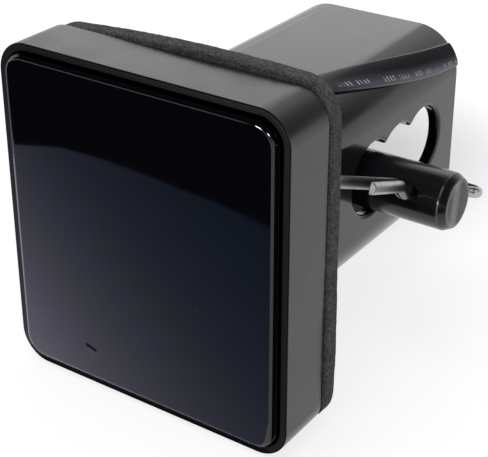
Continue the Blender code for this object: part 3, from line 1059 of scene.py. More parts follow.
def skin(name: str, loops: Sequence[Loop], closing: Closing = Closing.CAPS,
         sharp_deg: float = 40.0) -> bpy.types.Object:
    """Skin a run of loops that have equally many points.

    Args:
        name: The object's name.
        loops: The loops in order.
        closing: RING joins the last loop to the first, CAPS fills the ends.
        sharp_deg: Edges that bend more than this stay sharp.

    Returns:
        The object, linked to the scene.
    """
    count = len(loops[0])
    faces: list[tuple[int, ...]] = []
    spans = len(loops) if closing is Closing.RING else len(loops) - 1
    for i in range(spans):
        j = (i + 1) % len(loops)
        faces += [(i * count + k, i * count + (k + 1) % count, j * count + (k + 1) % count,
                   j * count + k) for k in range(count)]
    if closing is Closing.CAPS:
        faces.append(tuple(range(count)))
        faces.append(tuple((len(loops) - 1) * count + k for k in range(count)))
    data = bpy.data.meshes.new(name)
    data.from_pydata([tuple(p) for loop in loops for p in loop], [], faces)
    work = bmesh.new()
    work.from_mesh(data)
    bmesh.ops.remove_doubles(work, verts=work.verts, dist=1e-7)
    bmesh.ops.recalc_face_normals(work, faces=work.faces)
    work.to_mesh(data)
    work.free()
    item = bpy.data.objects.new(name, data)
    bpy.context.scene.collection.objects.link(item)
    smooth(item, sharp_deg)
    return item


def smooth(item: bpy.types.Object, sharp_deg: float) -> None:
    """Shade an object smooth, but for edges that bend more than an angle.

    Args:
        item: The object.
        sharp_deg: The angle in degrees.
    """
    item.data.shade_smooth()
    item.data.set_sharp_from_angle(angle=math.radians(sharp_deg))


def flatten_normals(item: bpy.types.Object) -> None:
    """Let the large flat faces rule the shading where they meet a rounding."""
    step = item.modifiers.new("flat_faces", "WEIGHTED_NORMAL")
    step.keep_sharp = True
    step.weight = 80


def lathe(name: str, start: Vector, axis: Vector, stations: Sequence[Station],
          sides: int = 96, sharp_deg: float = 40.0) -> bpy.types.Object:
    """Solid of revolution.

    Args:
        name: The object's name.
        start: Where the axis begins.
        axis: Its direction.
        stations: (distance, radius) pairs.
        sides: Segments round it.
        sharp_deg: Edges that bend more than this stay sharp.

    Returns:
        The object.
    """
    ahead = axis.normalized()
    axis_a = ahead.orthogonal().normalized()
    axis_b = ahead.cross(axis_a)
    loops = [circle(start + ahead * d, axis_a, axis_b, r, sides) for d, r in stations]
    return skin(name, loops, sharp_deg=sharp_deg)


def cut(target: bpy.types.Object, cutter: bpy.types.Object, sharp_deg: float = 40.0) -> None:
    """Take one solid out of another and drop the tool.

    Args:
        target: The solid that is cut.
        cutter: The solid that cuts, which is removed.
        sharp_deg: Edges that bend more than this stay sharp.
    """
    step = target.modifiers.new("cut", "BOOLEAN")
    step.operation = "DIFFERENCE"
    step.solver = "EXACT"
    step.object = cutter
    bpy.context.view_layer.update()
    evaluated = target.evaluated_get(bpy.context.evaluated_depsgraph_get())
    result = bpy.data.meshes.new_from_object(evaluated)
    target.modifiers.remove(step)
    target.data = result
    bpy.data.objects.remove(cutter, do_unlink=True)
    smooth(target, sharp_deg)


def dress(item: bpy.types.Object, finish: Finish, node: str | None = None) -> bpy.types.Object:
    """Give a piece its finish, its body and the solid it stands for.

    Args:
        item: The piece.
        finish: Its finish.
        node: The solid that it replaces, if it is a piece of the scene's own.

    Returns:
        The piece.
    """
    look = bpy.data.materials.get(finish.name) or finish.build()
    item.data.materials.clear()
    item.data.materials.append(look)
    if node is not None:
        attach(item, "root")
        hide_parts(node)
    LOG.info("%s: %d faces, %s", item.name, len(item.data.polygons), finish.name)
    return item


# ------------------------------------------------------------------------- sub-assemblies


@dataclass
class CapMoulding:
    """The moulded frame: rim, recess, ledge, hollow and the tube's opening."""

    sizes: CoverSizes
    finish: SatinMoulding = field(default_factory=SatinMoulding)
    rim_edge: float = 0.4 * MM
    rim_steps: int = 8
    rim_down: float = 0.5 * MM
    rim_left: float = 0.3 * MM
    panel_down: float = 0.4 * MM
    lip: float = 0.3 * MM
    lip_steps: int = 6
    ledge_w: float = 6.25 * MM
    ledge_y: float = 2.9 * MM
    wall_y: float = 12.15 * MM
    back_edge: float = 0.3 * MM
    back_steps: int = 3
    screw_x: float = 26.1 * MM
    screw_z: float = 29.0 * MM
    screw_head_d: float = 5.6 * MM
    screw_d: float = 3.0 * MM
    sink_flat: float = 0.25 * MM
    sink_depth: float = 2.0 * MM
    bore_depth: float = 4.5 * MM
    bore_sides: int = 32

    def build(self) -> bpy.types.Object:
        """Build the moulding.

        Returns:
            The dressed piece.
        """
        s = self.sizes
        outer = RoundedRect(s.cap_w, s.cap_h, s.cap_r)
        recess = outer.inset(s.rim_w - s.gap)
        opening = RoundedRect(s.tube_side + 2 * s.gap, s.tube_side + 2 * s.gap, s.tube_r + s.gap)
        loops = [outer.inset(inset).loop(s.cap_depth - depth)
                 for inset, depth in reversed(quarter_round(self.back_edge, self.back_steps))]
        loops += [outer.inset(inset).loop(depth)
                  for inset, depth in quarter_round(self.rim_edge, self.rim_steps)]
        loops = [reached(loop, self.rim_down, self.rim_left) for loop in loops]
        inner = recess.inset(self.ledge_w)
        pocket = [recess.inset(-inset).loop(depth)
                  for inset, depth in reversed(quarter_round(self.lip, self.lip_steps))]
        pocket += [recess.loop(self.ledge_y), inner.loop(self.ledge_y), inner.loop(self.wall_y)]
        loops += [reached(loop, self.panel_down) for loop in pocket]
        loops += [opening.loop(self.wall_y), opening.loop(s.cap_depth)]
        piece = skin("cap_moulding", loops, Closing.RING)
        self._bore_screw_holes(piece)
        flatten_normals(piece)
        return dress(piece, self.finish, "cap_shell")

    def _bore_screw_holes(self, piece: bpy.types.Object) -> None:
        """Cut the four countersunk holes through the back wall."""
        s = self.sizes
        head_r, thread_r = self.screw_head_d / 2 + s.gap, self.screw_d / 2 + s.gap
        stations = [(0.0, head_r), (PROUD + self.sink_flat, head_r),
                    (PROUD + self.sink_depth, thread_r), (self.bore_depth, thread_r)]
        for x in (self.screw_x, -self.screw_x):
            for z in (self.screw_z, -self.screw_z):
                start = Vector((x, s.cap_depth + PROUD, z))
                cut(piece, lathe("hole", start, Vector((0, -1, 0)), stations, self.bore_sides))


@dataclass
class GlossPanel:
    """The polished panel with its softly rounded margin."""

    sizes: CoverSizes
    finish: PolishedPanel = field(default_factory=PolishedPanel)
    radius: float = 5.6 * MM
    corner_steps: int = 32
    front_y: float = -1.5 * MM
    thickness: float = 3.0 * MM
    margin_r: float = 1.5 * MM
    margin_steps: int = 16
    down: float = 0.4 * MM

    def build(self) -> bpy.types.Object:
        """Build the panel.

        Returns:
            The dressed piece.
        """
        s = self.sizes
        outer = RoundedRect(s.cap_w - 2 * s.rim_w, s.cap_h - 2 * s.rim_w, self.radius,
                            self.corner_steps)
        loops = [outer.loop(self.front_y + self.thickness)]
        loops += [outer.inset(inset).loop(self.front_y + depth)
                  for inset, depth in quarter_round(self.margin_r, self.margin_steps)]
        piece = skin("gloss_panel", [reached(loop, self.down) for loop in loops])
        flatten_normals(piece)
        return dress(piece, self.finish, "face_panel")


@dataclass
class FoamRing:
    """The foam pad behind the cap, bulging past the cap's top edge."""

    sizes: CoverSizes
    finish: FoamSkin = field(default_factory=FoamSkin)
    swell_top: float = 1.7 * MM
    lean: float = 1.0 * MM
    swell_left: float = 0.2 * MM
    swell_right: float = 0.8 * MM
    swell_low: float = 0.35 * MM
    edge_r: float = 0.9 * MM
    edge_steps: int = 5
    across_steps: int = 7
    corner_steps: int = 20
    side_steps: int = 110
    ripple: float = 0.16 * MM
    ripple_in: float = 0.6
    ripple_waves: tuple[float, float] = (900.0, 260.0)

    def _edge(self, outline: RoundedRect, inset: float, y: float) -> Loop:
        """One loop round the pad, which swells and rises to the right.

        Args:
            outline: The cap's outline.
            inset: How far in the loop lies.
            y: Its plane.

        Returns:
            The loop.
        """
        s = self.sizes
        loop: Loop = []
        for x, z in outline.points():
            across, up = 2 * x / s.cap_w, 2 * z / s.cap_h
            swell = self.swell_right if across > 0 else self.swell_left
            out_x = swell * (1 - up ** 4) * across
            out_x += self.swell_low * max(across, 0.0) * min(1.0, max(0.0, -2 * up))
            out_z = (self.swell_top * (1 - across * across) + self.lean * across) * max(up, 0.0)
            point = Vector((x + out_x, y, z + out_z))
            away = Vector((x, 0, z)).normalized()
            rough = sum(noise.noise(point * waves) for waves in self.ripple_waves) / 2
            loop.append(point + away * ((rough - self.ripple_in) * self.ripple - inset))
        return loop

    def build(self) -> bpy.types.Object:
        """Build the pad.

        Returns:
            The dressed piece.
        """
        s = self.sizes
        outline = RoundedRect(s.cap_w, s.cap_h, s.cap_r, self.corner_steps, self.side_steps)
        fit = 2 * s.gap + s.sleeve_t
        hole = RoundedRect(s.tube_side + 2 * fit, s.tube_side + 2 * fit, s.tube_r + fit,
                           self.corner_steps, self.side_steps)
        first, last = s.foam_y + self.edge_r, s.seat_y - self.edge_r
        loops = [hole.loop(s.foam_y)]
        loops += [self._edge(outline, inset, s.foam_y + depth)
                  for inset, depth in reversed(quarter_round(self.edge_r, self.edge_steps))]
        loops += [self._edge(outline, 0.0, first + (last - first) * k / self.across_steps)
                  for k in range(1, self.across_steps)]
        loops += [self._edge(outline, inset, s.seat_y - depth)
                  for inset, depth in quarter_round(self.edge_r, self.edge_steps)]
        loops.append(hole.loop(s.seat_y))
        piece = skin("foam_ring", loops, Closing.RING, sharp_deg=60.0)
        return dress(piece, self.finish, "foam_pad")


@dataclass
class SlottedTube:
    """The square tube, with three round holes run together through both sides."""

    sizes: CoverSizes
    finish: GlossPaint = field(default_factory=GlossPaint)
    end_edge: float = 0.4 * MM
    slot_edge: float = 1.2 * MM
    slot_count: int = 3
    corner_steps: int = 28
    edge_steps: int = 8
    end_arc_steps: int = 44
    mid_arc_steps: int = 12

    def _slot_loop(self, x: float, radius: float) -> Loop:
        """Outline of the holes run together, in the plane at x.

        Args:
            x: The plane.
            radius: Radius of each hole there.

        Returns:
            The outline.
        """
        s = self.sizes
        cusp = math.acos(s.slot_pitch / 2 / radius)
        last = self.slot_count - 1
        arcs: list[tuple[int, float, float, int]] = [
            (last, cusp - math.pi, math.pi - cusp, self.end_arc_steps)]
        arcs += [(i, cusp, math.pi - cusp, self.mid_arc_steps) for i in range(last - 1, 0, -1)]
        arcs.append((0, cusp, 2 * math.pi - cusp, self.end_arc_steps))
        arcs += [(i, math.pi + cusp, 2 * math.pi - cusp, self.mid_arc_steps)
                 for i in range(1, last)]
        loop: Loop = []
        for index, start, end, steps in arcs:
            middle = s.slot_first_y + index * s.slot_pitch
            for k in range(steps):
                turn = start + (end - start) * k / steps
                loop.append(Vector((x, middle + radius * math.cos(turn),
                                    s.slot_z + radius * math.sin(turn))))
        return loop

    def _slot_cutter(self) -> bpy.types.Object:
        """Tool that cuts the slot through both walls with broken edges.

        Returns:
            The tool.
        """
        s = self.sizes
        half, edge = s.tube_side / 2, self.slot_edge
        outer = [(-PROUD, edge + PROUD), *quarter_round(edge, self.edge_steps)]
        loops = [self._slot_loop(half - depth, s.slot_r + wide) for depth, wide in outer]
        loops += [self._slot_loop(depth - half, s.slot_r + wide) for depth, wide in outer[::-1]]
        return skin("slot_tool", loops)

    def build(self) -> bpy.types.Object:
        """Build the tube.

        Returns:
            The dressed piece.
        """
        s = self.sizes
        outer = RoundedRect(s.tube_side, s.tube_side, s.tube_r, self.corner_steps)
        inner = outer.inset(s.tube_wall)
        bend = quarter_round(self.end_edge, self.edge_steps)
        loops = [outer.loop(s.tube_y)]
        loops += [outer.inset(inset).loop(s.tube_end_y - depth) for inset, depth in bend]
        loops += [inner.inset(-inset).loop(s.tube_end_y - depth)
                  for inset, depth in reversed(bend)]
        loops.append(inner.loop(s.tube_y))
        piece = skin("slotted_tube", loops, Closing.RING)
        cut(piece, self._slot_cutter())
        flatten_normals(piece)
        return dress(piece, self.finish, "receiver_tube")


@dataclass
class TurnedPin:
    """The headed pin with its chamfered end and cross-hole."""

    sizes: CoverSizes
    finish: PinBlack = field(default_factory=PinBlack)
    head_d: float = 21.0 * MM
    head_t: float = 4.0 * MM
    head_edge: float = 0.8 * MM
    chamfer_l: float = 1.9 * MM
    chamfer_r: float = 1.1 * MM
    centre_r: float = 0.3 * MM
    fillet: float = 0.2 * MM
    head_blends: tuple[float, float, float] = (0.25 * MM, 0.3 * MM, 0.2 * MM)
    end_blends: tuple[float, float] = (0.45 * MM, 0.22 * MM)
    hole_sunk: float = 0.45 * MM
    hole_lip: float = 0.5 * MM
    sides: int = 128
    hole_sides: int = 48

    def build(self) -> bpy.types.Object:
        """Build the pin.

        Returns:
            The dressed piece.
        """
        s = self.sizes
        start = -(s.tube_side / 2 + s.gap) - self.head_t
        end = s.pin_end_x - start
        r, head_r = s.pin_d / 2, self.head_d / 2
        face_blend, rim_blend, seat_blend = self.head_blends
        profile = rounded_profile([
            (0.0, self.centre_r, 0.0), (0.0, head_r - self.head_edge, face_blend),
            (self.head_edge, head_r, rim_blend), (self.head_t, head_r, seat_blend),
            (self.head_t, r + self.fillet, 0.0), (self.head_t + self.fillet, r, 0.0),
            (end - self.chamfer_l, r, self.end_blends[0]),
            (end, r - self.chamfer_r, self.end_blends[1]), (end, self.centre_r, 0.0)])
        piece = lathe("turned_pin", Vector((start, s.pin_y, s.pin_z)), Vector((1, 0, 0)),
                      profile, self.sides, sharp_deg=50.0)
        along = Vector((0, -math.cos(s.pin_hole_tilt), math.sin(s.pin_hole_tilt)))
        hole_r, deep, lip = s.pin_hole_d / 2, s.pin_d, r - self.hole_lip
        mouth_r = hole_r + self.hole_sunk
        stations = [(0.0, mouth_r), (deep - r, mouth_r), (deep - lip, hole_r),
                    (deep + lip, hole_r), (deep + r, mouth_r), (2 * deep, mouth_r)]
        centre = Vector((s.pin_hole_x, s.pin_y, s.pin_z))
        tool = lathe("hole", centre - along * deep, along, stations, self.hole_sides)
        cut(piece, tool, sharp_deg=35.0)
        flatten_normals(piece)
        return dress(piece, self.finish, "hitch_pin")


@dataclass
class BentCotter:
    """The split cotter, bent from half-round wire through the pin's cross-hole."""

    sizes: CoverSizes
    finish: BrightZinc = field(default_factory=BrightZinc)
    end_finish: CutEnd = field(default_factory=CutEnd)
    wire_w: float = 3.0 * MM
    wire_t: float = 1.5 * MM
    split: float = 0.3 * MM
    eye_r: float = 2.7 * MM
    eye_l: float = 8.0 * MM
    eye_reach: float = math.radians(128.0)
    back: float = 25.0 * MM
    clear: float = 3.5 * MM
    less: float = 10.4 * MM
    bend: float = 2.2 * MM
    bend_l: float = 5.0 * MM
    spread_long: float = 4.3 * MM
    spread_short: float = 0.5 * MM
    lift_long: float = 2.0 * MM
    lift_short: float = 1.85 * MM
    leg_steps: int = 44
    eye_steps: int = 48
    arc_steps: int = 14
    flat_edge: float = 0.08 * MM
    fullness: float = 0.85
    end_bevel: float = 0.12 * MM
    end_sizes: tuple[float, float] = (0.84, 0.95)
    end_facing: float = 0.8

    @staticmethod
    def _ease(value: float) -> float:
        """Smooth ramp from 0 to 1."""
        value = min(1.0, max(0.0, value))
        return value * value * (3 - 2 * value)

    def _leg(self, length: float, spread: float, lift: float) -> list[Point]:
        """Stations of one leg, from the pin's middle to its cut end.

        Args:
            length: The leg's length outside the pin.
            spread: How far it bends to its side.
            lift: How far it bends up.

        Returns:
            (along, sideways, up) of each station.
        """
        found: list[Point] = [(0.0, 0.0, 0.0)]
        for k in range(self.leg_steps + 1):
            out = length * k / self.leg_steps
            found.append((self.sizes.pin_d / 2 + out, spread * self._ease(out / length),
                          lift * self._ease((out - self.bend) / self.bend_l)))
        return found

    def _path(self) -> list[Point]:
        """Stations of the wire's flat side, from the short leg's end to the long leg's.

        Returns:
            (along, sideways, up) of each station.
        """
        s = self.sizes
        long_l = ((s.pin_y - s.seat_y - self.clear) / math.cos(s.pin_hole_tilt) - s.pin_d / 2)
        half = self.split / 2
        eye_far = -(s.pin_d / 2 + self.back)
        eye_c = eye_far + self.eye_r + self.wire_t
        neck = eye_far + self.eye_l
        short = self._leg(long_l - self.less, self.spread_short, self.lift_short)
        path = [(a, half + x, v) for a, x, v in reversed(short)]
        path.append((neck, half, 0.0))
        for k in range(self.eye_steps + 1):
            turn = self.eye_reach * (1 - 2 * k / self.eye_steps)
            path.append((eye_c - self.eye_r * math.cos(turn), self.eye_r * math.sin(turn), 0.0))
        path.append((neck, -half, 0.0))
        path += [(a, -half - x, v) for a, x, v in
                 self._leg(long_l, self.spread_long, self.lift_long)]
        return path

    def _section(self) -> list[Station]:
        """Half-round section with small corner roundings.

        Returns:
            (width, bulge) of each point, the flat side at bulge 0.
        """
        points: list[Station] = []
        for k in range(self.arc_steps + 1):
            turn = math.pi * k / self.arc_steps
            points.append((self.wire_w / 2 * math.cos(turn),
                           self.wire_t * math.sin(turn) ** self.fullness))
        points[0] = (self.wire_w / 2 - self.flat_edge, 0.0)
        points[-1] = (self.flat_edge - self.wire_w / 2, 0.0)
        return points

    def build(self) -> bpy.types.Object:
        """Build the cotter.

        Returns:
            The dressed piece.
        """
        s = self.sizes
        along = Vector((0, -math.cos(s.pin_hole_tilt), math.sin(s.pin_hole_tilt)))
        across = Vector((0, math.sin(s.pin_hole_tilt), math.cos(s.pin_hole_tilt)))
        rise = s.pin_hole_d / 2 - self.wire_w / 2 - s.gap
        centre = Vector((s.pin_hole_x, s.pin_y, s.pin_z)) + across * rise
        line = [centre + along * a + Vector((x, 0, 0)) + across * v for a, x, v in self._path()]
        loops: list[Loop] = []
        final = len(line) - 1
        for i, point in enumerate(line):
            tangent = (line[min(i + 1, final)] - line[max(i - 1, 0)]).normalized()
            outward = tangent.cross(across).normalized()
            width = tangent.cross(outward).normalized()
            inward = tangent if i == 0 else -tangent
            for size in {0: self.end_sizes, final: self.end_sizes[::-1]}.get(i, (1.0,)):
                base = point + inward * (self.end_bevel if size == self.end_sizes[1] else 0.0)
                middle = base + outward * (self.wire_t * (1 - size) / 2)
                loops.append([middle + width * (w * size) + outward * (t * size)
                              for w, t in self._section()])
        piece = skin("bent_cotter", loops, sharp_deg=50.0)
        flatten_normals(piece)
        dress(piece, self.finish, "split_cotter")
        piece.data.materials.append(self.end_finish.build())
        # Only the two caps at the wire's ends have more than four corners.
        for face in piece.data.polygons:
            if len(face.vertices) > 4 and face.normal.dot(along) > self.end_facing:
                face.material_index = 1
        return piece


@dataclass
class CornerSleeve:
    """The thin flattened sleeve over the tube's upper right corner."""

    sizes: CoverSizes
    finish: SleeveFilm = field(default_factory=SleeveFilm)
    width_front: float = 10.0 * MM
    width_end: float = 6.2 * MM
    short: float = 1.0 * MM
    edge: float = 0.3 * MM
    end_pos: float = 12.97 * MM
    front_pos: float = -12.85 * MM
    bow: float = 4.56 * MM
    steps: int = 120
    across: int = 36

    def _corner_point(self, position: float, lift: float) -> Station:
        """Point (x, z) over the tube's outside.

        Args:
            position: Distance round the upper right corner from where it begins.
            lift: Height over the tube.

        Returns:
            The point.
        """
        s = self.sizes
        centre, arc = s.tube_side / 2 - s.tube_r, s.tube_r * math.pi / 2
        if position < 0:
            return centre + position, s.tube_side / 2 + lift
        if position > arc:
            return s.tube_side / 2 + lift, centre - (position - arc)
        turn = position / s.tube_r
        return (centre + (s.tube_r + lift) * math.sin(turn),
                centre + (s.tube_r + lift) * math.cos(turn))

    def _course(self, y: float) -> Station:
        """Where the sleeve lies at one station.

        Args:
            y: The station.

        Returns:
            Its middle's place round the corner, and half its width.
        """
        s = self.sizes
        t = (s.tube_end_y - y) / (s.tube_end_y - s.seat_y - s.gap)
        middle = self.end_pos + (self.front_pos - self.end_pos) * t + self.bow * 4 * t * (1 - t)
        return middle, (self.width_end + (self.width_front - self.width_end) * t) / 2

    def build(self) -> bpy.types.Object:
        """Build the sleeve, with a map that runs along it and across it.

        Returns:
            The dressed piece.
        """
        s = self.sizes
        first = s.seat_y + s.gap
        shares = [-1 + 2 * k / self.across for k in range(self.across + 1)]
        loops: list[Loop] = []
        for i in range(self.steps + 1):
            y = first + (s.tube_end_y - self.short - first) * i / self.steps
            middle, half = self._course(y)
            under = [self._corner_point(middle + u * half, s.gap) for u in shares]
            over = [self._corner_point(
                middle + u * half,
                s.gap + self.edge + (s.sleeve_t - self.edge) * (1 - u ** 4) ** 0.5)
                for u in reversed(shares)]
            loops.append([Vector((x, y, z)) for x, z in under + over])
        piece = skin("corner_strip", loops, sharp_deg=50.0)
        self._map(piece)
        return dress(piece, self.finish, "corner_sleeve")

    def _map(self, piece: bpy.types.Object) -> None:
        """Write each point's place along (mm) and across (0 to 1) into the mesh's map."""
        s = self.sizes
        layer = piece.data.uv_layers.new(name=SLEEVE_MAP)
        centre = s.tube_side / 2 - s.tube_r
        for corner in piece.data.loops:
            point = piece.data.vertices[corner.vertex_index].co
            middle, half = self._course(point.y)
            dx, dz = point.x - centre, point.z - centre
            if dx < 0:
                place = dx
            elif dz < 0:
                place = s.tube_r * math.pi / 2 - dz
            else:
                place = s.tube_r * math.atan2(dx, dz)
            layer.data[corner.index].uv = ((point.y - s.seat_y) / MM,
                                           0.5 - (place - middle) / (2 * half))


@dataclass
class HiddenPieces:
    """The solids that stay as they are: tape, plate, screws, washers and nuts."""

    tape: TapeFace = field(default_factory=TapeFace)
    plate: PlatePaint = field(default_factory=PlatePaint)
    zinc: BrightZinc = field(default_factory=lambda: BrightZinc(
        name="zinc_fasteners", roughness=0.3, lines=(900.0, 900.0, 900.0), painted_shade_share=0.0))
    fastener_kinds: tuple[str, ...] = ("plate_screw", "plate_washer", "plate_nut")
    fastener_count: int = 4

    def dress_all(self, nodes: dict[str, bpy.types.Object]) -> None:
        """Give each of the solids its finish.

        Args:
            nodes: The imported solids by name.
        """
        dress(nodes["panel_tape"], self.tape)
        dress(nodes["mounting_plate"], self.plate)
        for kind in self.fastener_kinds:
            for index in range(1, self.fastener_count + 1):
                dress(nodes[f"{kind}_{index}"], self.zinc)


# --------------------------------------------------------------------------------- studio


@dataclass(frozen=True)
class Fade:
    """A smooth change of a card's level along one axis, in millimetres."""

    letter: str
    low: float
    high: float
    start: float
    end: float


@dataclass(frozen=True)
class Glow:
    """A glow that dies away evenly along one direction of the floor, in millimetres."""

    tint: Colour
    start: Station
    slope: Station
    most: float = 1.25

    def share(self, make: NodeMaker) -> Socket:
        """Its level: 1 at the start point, and never above e to the power of most.

        Args:
            make: The card's node maker.

        Returns:
            The level.
        """
        x, y = make.axis("X") - self.start[0], make.axis("Y") - self.start[1]
        return math.e ** (x * self.slope[0] + y * self.slope[1]).least(self.most)


@dataclass(frozen=True)
class Card:
    """A flat card in the studio, which only reflections show."""

    name: str
    points: tuple[Point, ...]
    level: float = 0.0
    tint: Colour = WHITE
    fades: tuple[Fade, ...] = ()
    glow: Glow | None = None

    @staticmethod
    def _scaled(make: NodeMaker, colour: "Socket | tuple[float, ...]", share: Socket) -> Socket:
        """A colour times a share.

        Args:
            make: The card's node maker.
            colour: The colour.
            share: The share.

        Returns:
            The product.
        """
        value = colour if isinstance(colour, Socket) else colour[:3]
        return make.node("ShaderNodeVectorMath", {"operation": "SCALE"},
                         {0: value, "Scale": share})

    def build(self) -> bpy.types.Object:
        """Build the card.

        Returns:
            The card's object, marked as stage.
        """
        data = bpy.data.meshes.new(self.name)
        data.from_pydata([tuple(c * MM for c in p) for p in self.points], [],
                         [tuple(range(len(self.points)))])
        item = bpy.data.objects.new(self.name, data)
        bpy.context.scene.collection.objects.link(item)
        make = NodeMaker(self.name)
        colour: Socket | tuple[float, ...] = (*self.tint, 1.0)
        for fade in self.fades:
            share = make.axis(fade.letter).step(fade.low, fade.high, fade.start, fade.end)
            colour = self._scaled(make, colour, share)
        light = make.node("ShaderNodeEmission", {}, {"Color": colour, "Strength": self.level})
        if self.glow is not None:
            more = self._scaled(make, (*self.glow.tint, 1.0), self.glow.share(make))
            more = make.node("ShaderNodeEmission", {}, {"Color": more})
            light = make.node("ShaderNodeAddShader", {}, {0: light, 1: more})
        make.node("ShaderNodeOutputMaterial", {}, {"Surface": light})
        data.materials.append(make.material)
        item.visible_camera = item.visible_diffuse = False
        item.visible_transmission = item.visible_shadow = False
        item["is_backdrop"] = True
        return item


@dataclass(frozen=True)
class Lamp:
    """A soft square lamp that looks at a point of the object."""

    name: str
    place: Point
    size: float
    watts: float
    aim: Point = (0.0, 0.045, 0.0)
    glossy: bool = True

    def build(self) -> bpy.types.Object:
        """Build the lamp.

        Returns:
            The lamp's object.
        """
        data = bpy.data.lights.new(self.name, "AREA")
        data.size, data.energy = self.size, self.watts
        item = bpy.data.objects.new(self.name, data)
        item.location = self.place
        item.rotation_mode = "QUATERNION"
        item.rotation_quaternion = (Vector(self.place) - Vector(self.aim)).to_track_quat("Z", "Y")
        item.visible_glossy = self.glossy
        bpy.context.scene.collection.objects.link(item)
        return item


@dataclass
class Studio:
    """Pale floor, white surroundings, soft lamps and the cards that the gloss shows."""

    floor_z: float
    floor_half: float = 4.0
    floor_tone: Colour = (0.86, 0.86, 0.86)
    world_level: float = 0.62
    shown_glow: float = 0.78
    shown_tone: Colour = (0.28, 0.28, 0.28)
    # Painted shade on the floor's glow: a soft disc behind the tube.
    shade_at: Station = (-30.0, 150.0)
    shade_r: float = 75.0
    shade: float = 0.55
    lamps: tuple[Lamp, ...] = (
        Lamp("overhead_lamp", (-0.15, -0.25, 1.15), 0.9, 6.0, glossy=False),
        Lamp("rear_left_lamp", (-0.42, 0.66, 0.38), 0.42, 0.32),
    )
    cards: tuple[Card, ...] = ()

    @staticmethod
    def _shown(make: NodeMaker) -> Socket:
        """1 for camera, glossy and transmission rays, 0 for the others."""
        rays = [make.node("ShaderNodeLightPath", output=name)
                for name in ("Is Camera Ray", "Is Glossy Ray", "Is Transmission Ray")]
        return (rays[0] + rays[1] + rays[2]).least(1.0)

    def _floor(self) -> None:
        """Build the pale floor, which keeps the object's shadow, with painted shade in a soft disc
        behind the tube.
        """
        half = self.floor_half
        data = bpy.data.meshes.new("floor")
        data.from_pydata([(-half, -half, self.floor_z), (half, -half, self.floor_z),
                          (half, half, self.floor_z), (-half, half, self.floor_z)], [],
                         [(0, 1, 2, 3)])
        item = bpy.data.objects.new("floor", data)
        bpy.context.scene.collection.objects.link(item)
        make = NodeMaker("pale_floor")
        plain = make.node("ShaderNodeBsdfDiffuse", {}, {"Color": (*self.floor_tone, 1.0)})
        shown = make.node("ShaderNodeBsdfDiffuse", {}, {"Color": (*self.shown_tone, 1.0)})
        # Painted shade: the glow is darker in a soft disc behind the tube.
        out = (make.axis("X") - self.shade_at[0]).diagonal(make.axis("Y") - self.shade_at[1])
        tone = make.blend(out.step(0.0, self.shade_r, self.shade, 0.0), WHITE, BLACK)
        glow = make.node("ShaderNodeEmission", {}, {"Color": tone, "Strength": self.shown_glow})
        pale = make.node("ShaderNodeAddShader", {}, {0: shown, 1: glow})
        mixed = make.node("ShaderNodeMixShader", {}, {0: self._shown(make), 1: plain, 2: pale})
        make.node("ShaderNodeOutputMaterial", {}, {"Surface": mixed})
        data.materials.append(make.material)
        item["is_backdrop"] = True

    def _world(self) -> None:
        """Build the surroundings: white where they show, a plain level as light."""
        world = bpy.data.worlds.new("white_studio")
        bpy.context.scene.world = world
        world.use_nodes = True
        make = NodeMaker("world_nodes")
        spare = make.material
        make.tree = world.node_tree
        make.tree.nodes.clear()
        bpy.data.materials.remove(spare)
        light = make.node("ShaderNodeBackground", {}, {"Strength": self.world_level})
        white = make.node("ShaderNodeBackground", {}, {"Strength": 1.0})
        for background in (light, white):
            background.source.node.inputs["Color"].default_value = (*WHITE, 1.0)
        mixed = make.node("ShaderNodeMixShader", {}, {0: self._shown(make), 1: light, 2: white})
        make.node("ShaderNodeOutputWorld", {}, {"Surface": mixed})

    def build(self) -> None:
        """Build the studio."""
        self._floor()
        self._world()
        for thing in (*self.lamps, *self.cards):
            thing.build()
            LOG.info("%s", thing.name)


def square(direction: Point, distance: float, size: float, start: Point) -> tuple[Point, ...]:
    """Corners of a square card that faces back along a direction, in millimetres.

    Args:
        direction: Where it lies, seen from the start.
        distance: How far away.
        size: Its side.
        start: The point that it faces.

    Returns:
        Its four corners.
    """
    ahead = Vector(direction).normalized()
    side = ahead.cross(Vector((0, 0, 1))).normalized() * (size / 2)
    up = side.cross(ahead).normalized() * (size / 2)
    middle = Vector(start) + ahead * distance
    return tuple(tuple(middle + side * a + up * b)
                 for a, b in ((-1, -1), (1, -1), (1, 1), (-1, 1)))


def lying(height: float, *outline: Station) -> tuple[Point, ...]:
    """Corners of a level card at a height: its outline's (x, y)."""
    return tuple((x, y, height) for x, y in outline)


def standing(depth: float, *outline: Station) -> tuple[Point, ...]:
    """Corners of an upright card at one y: its outline's (x, z)."""
    return tuple((x, depth, z) for x, z in outline)


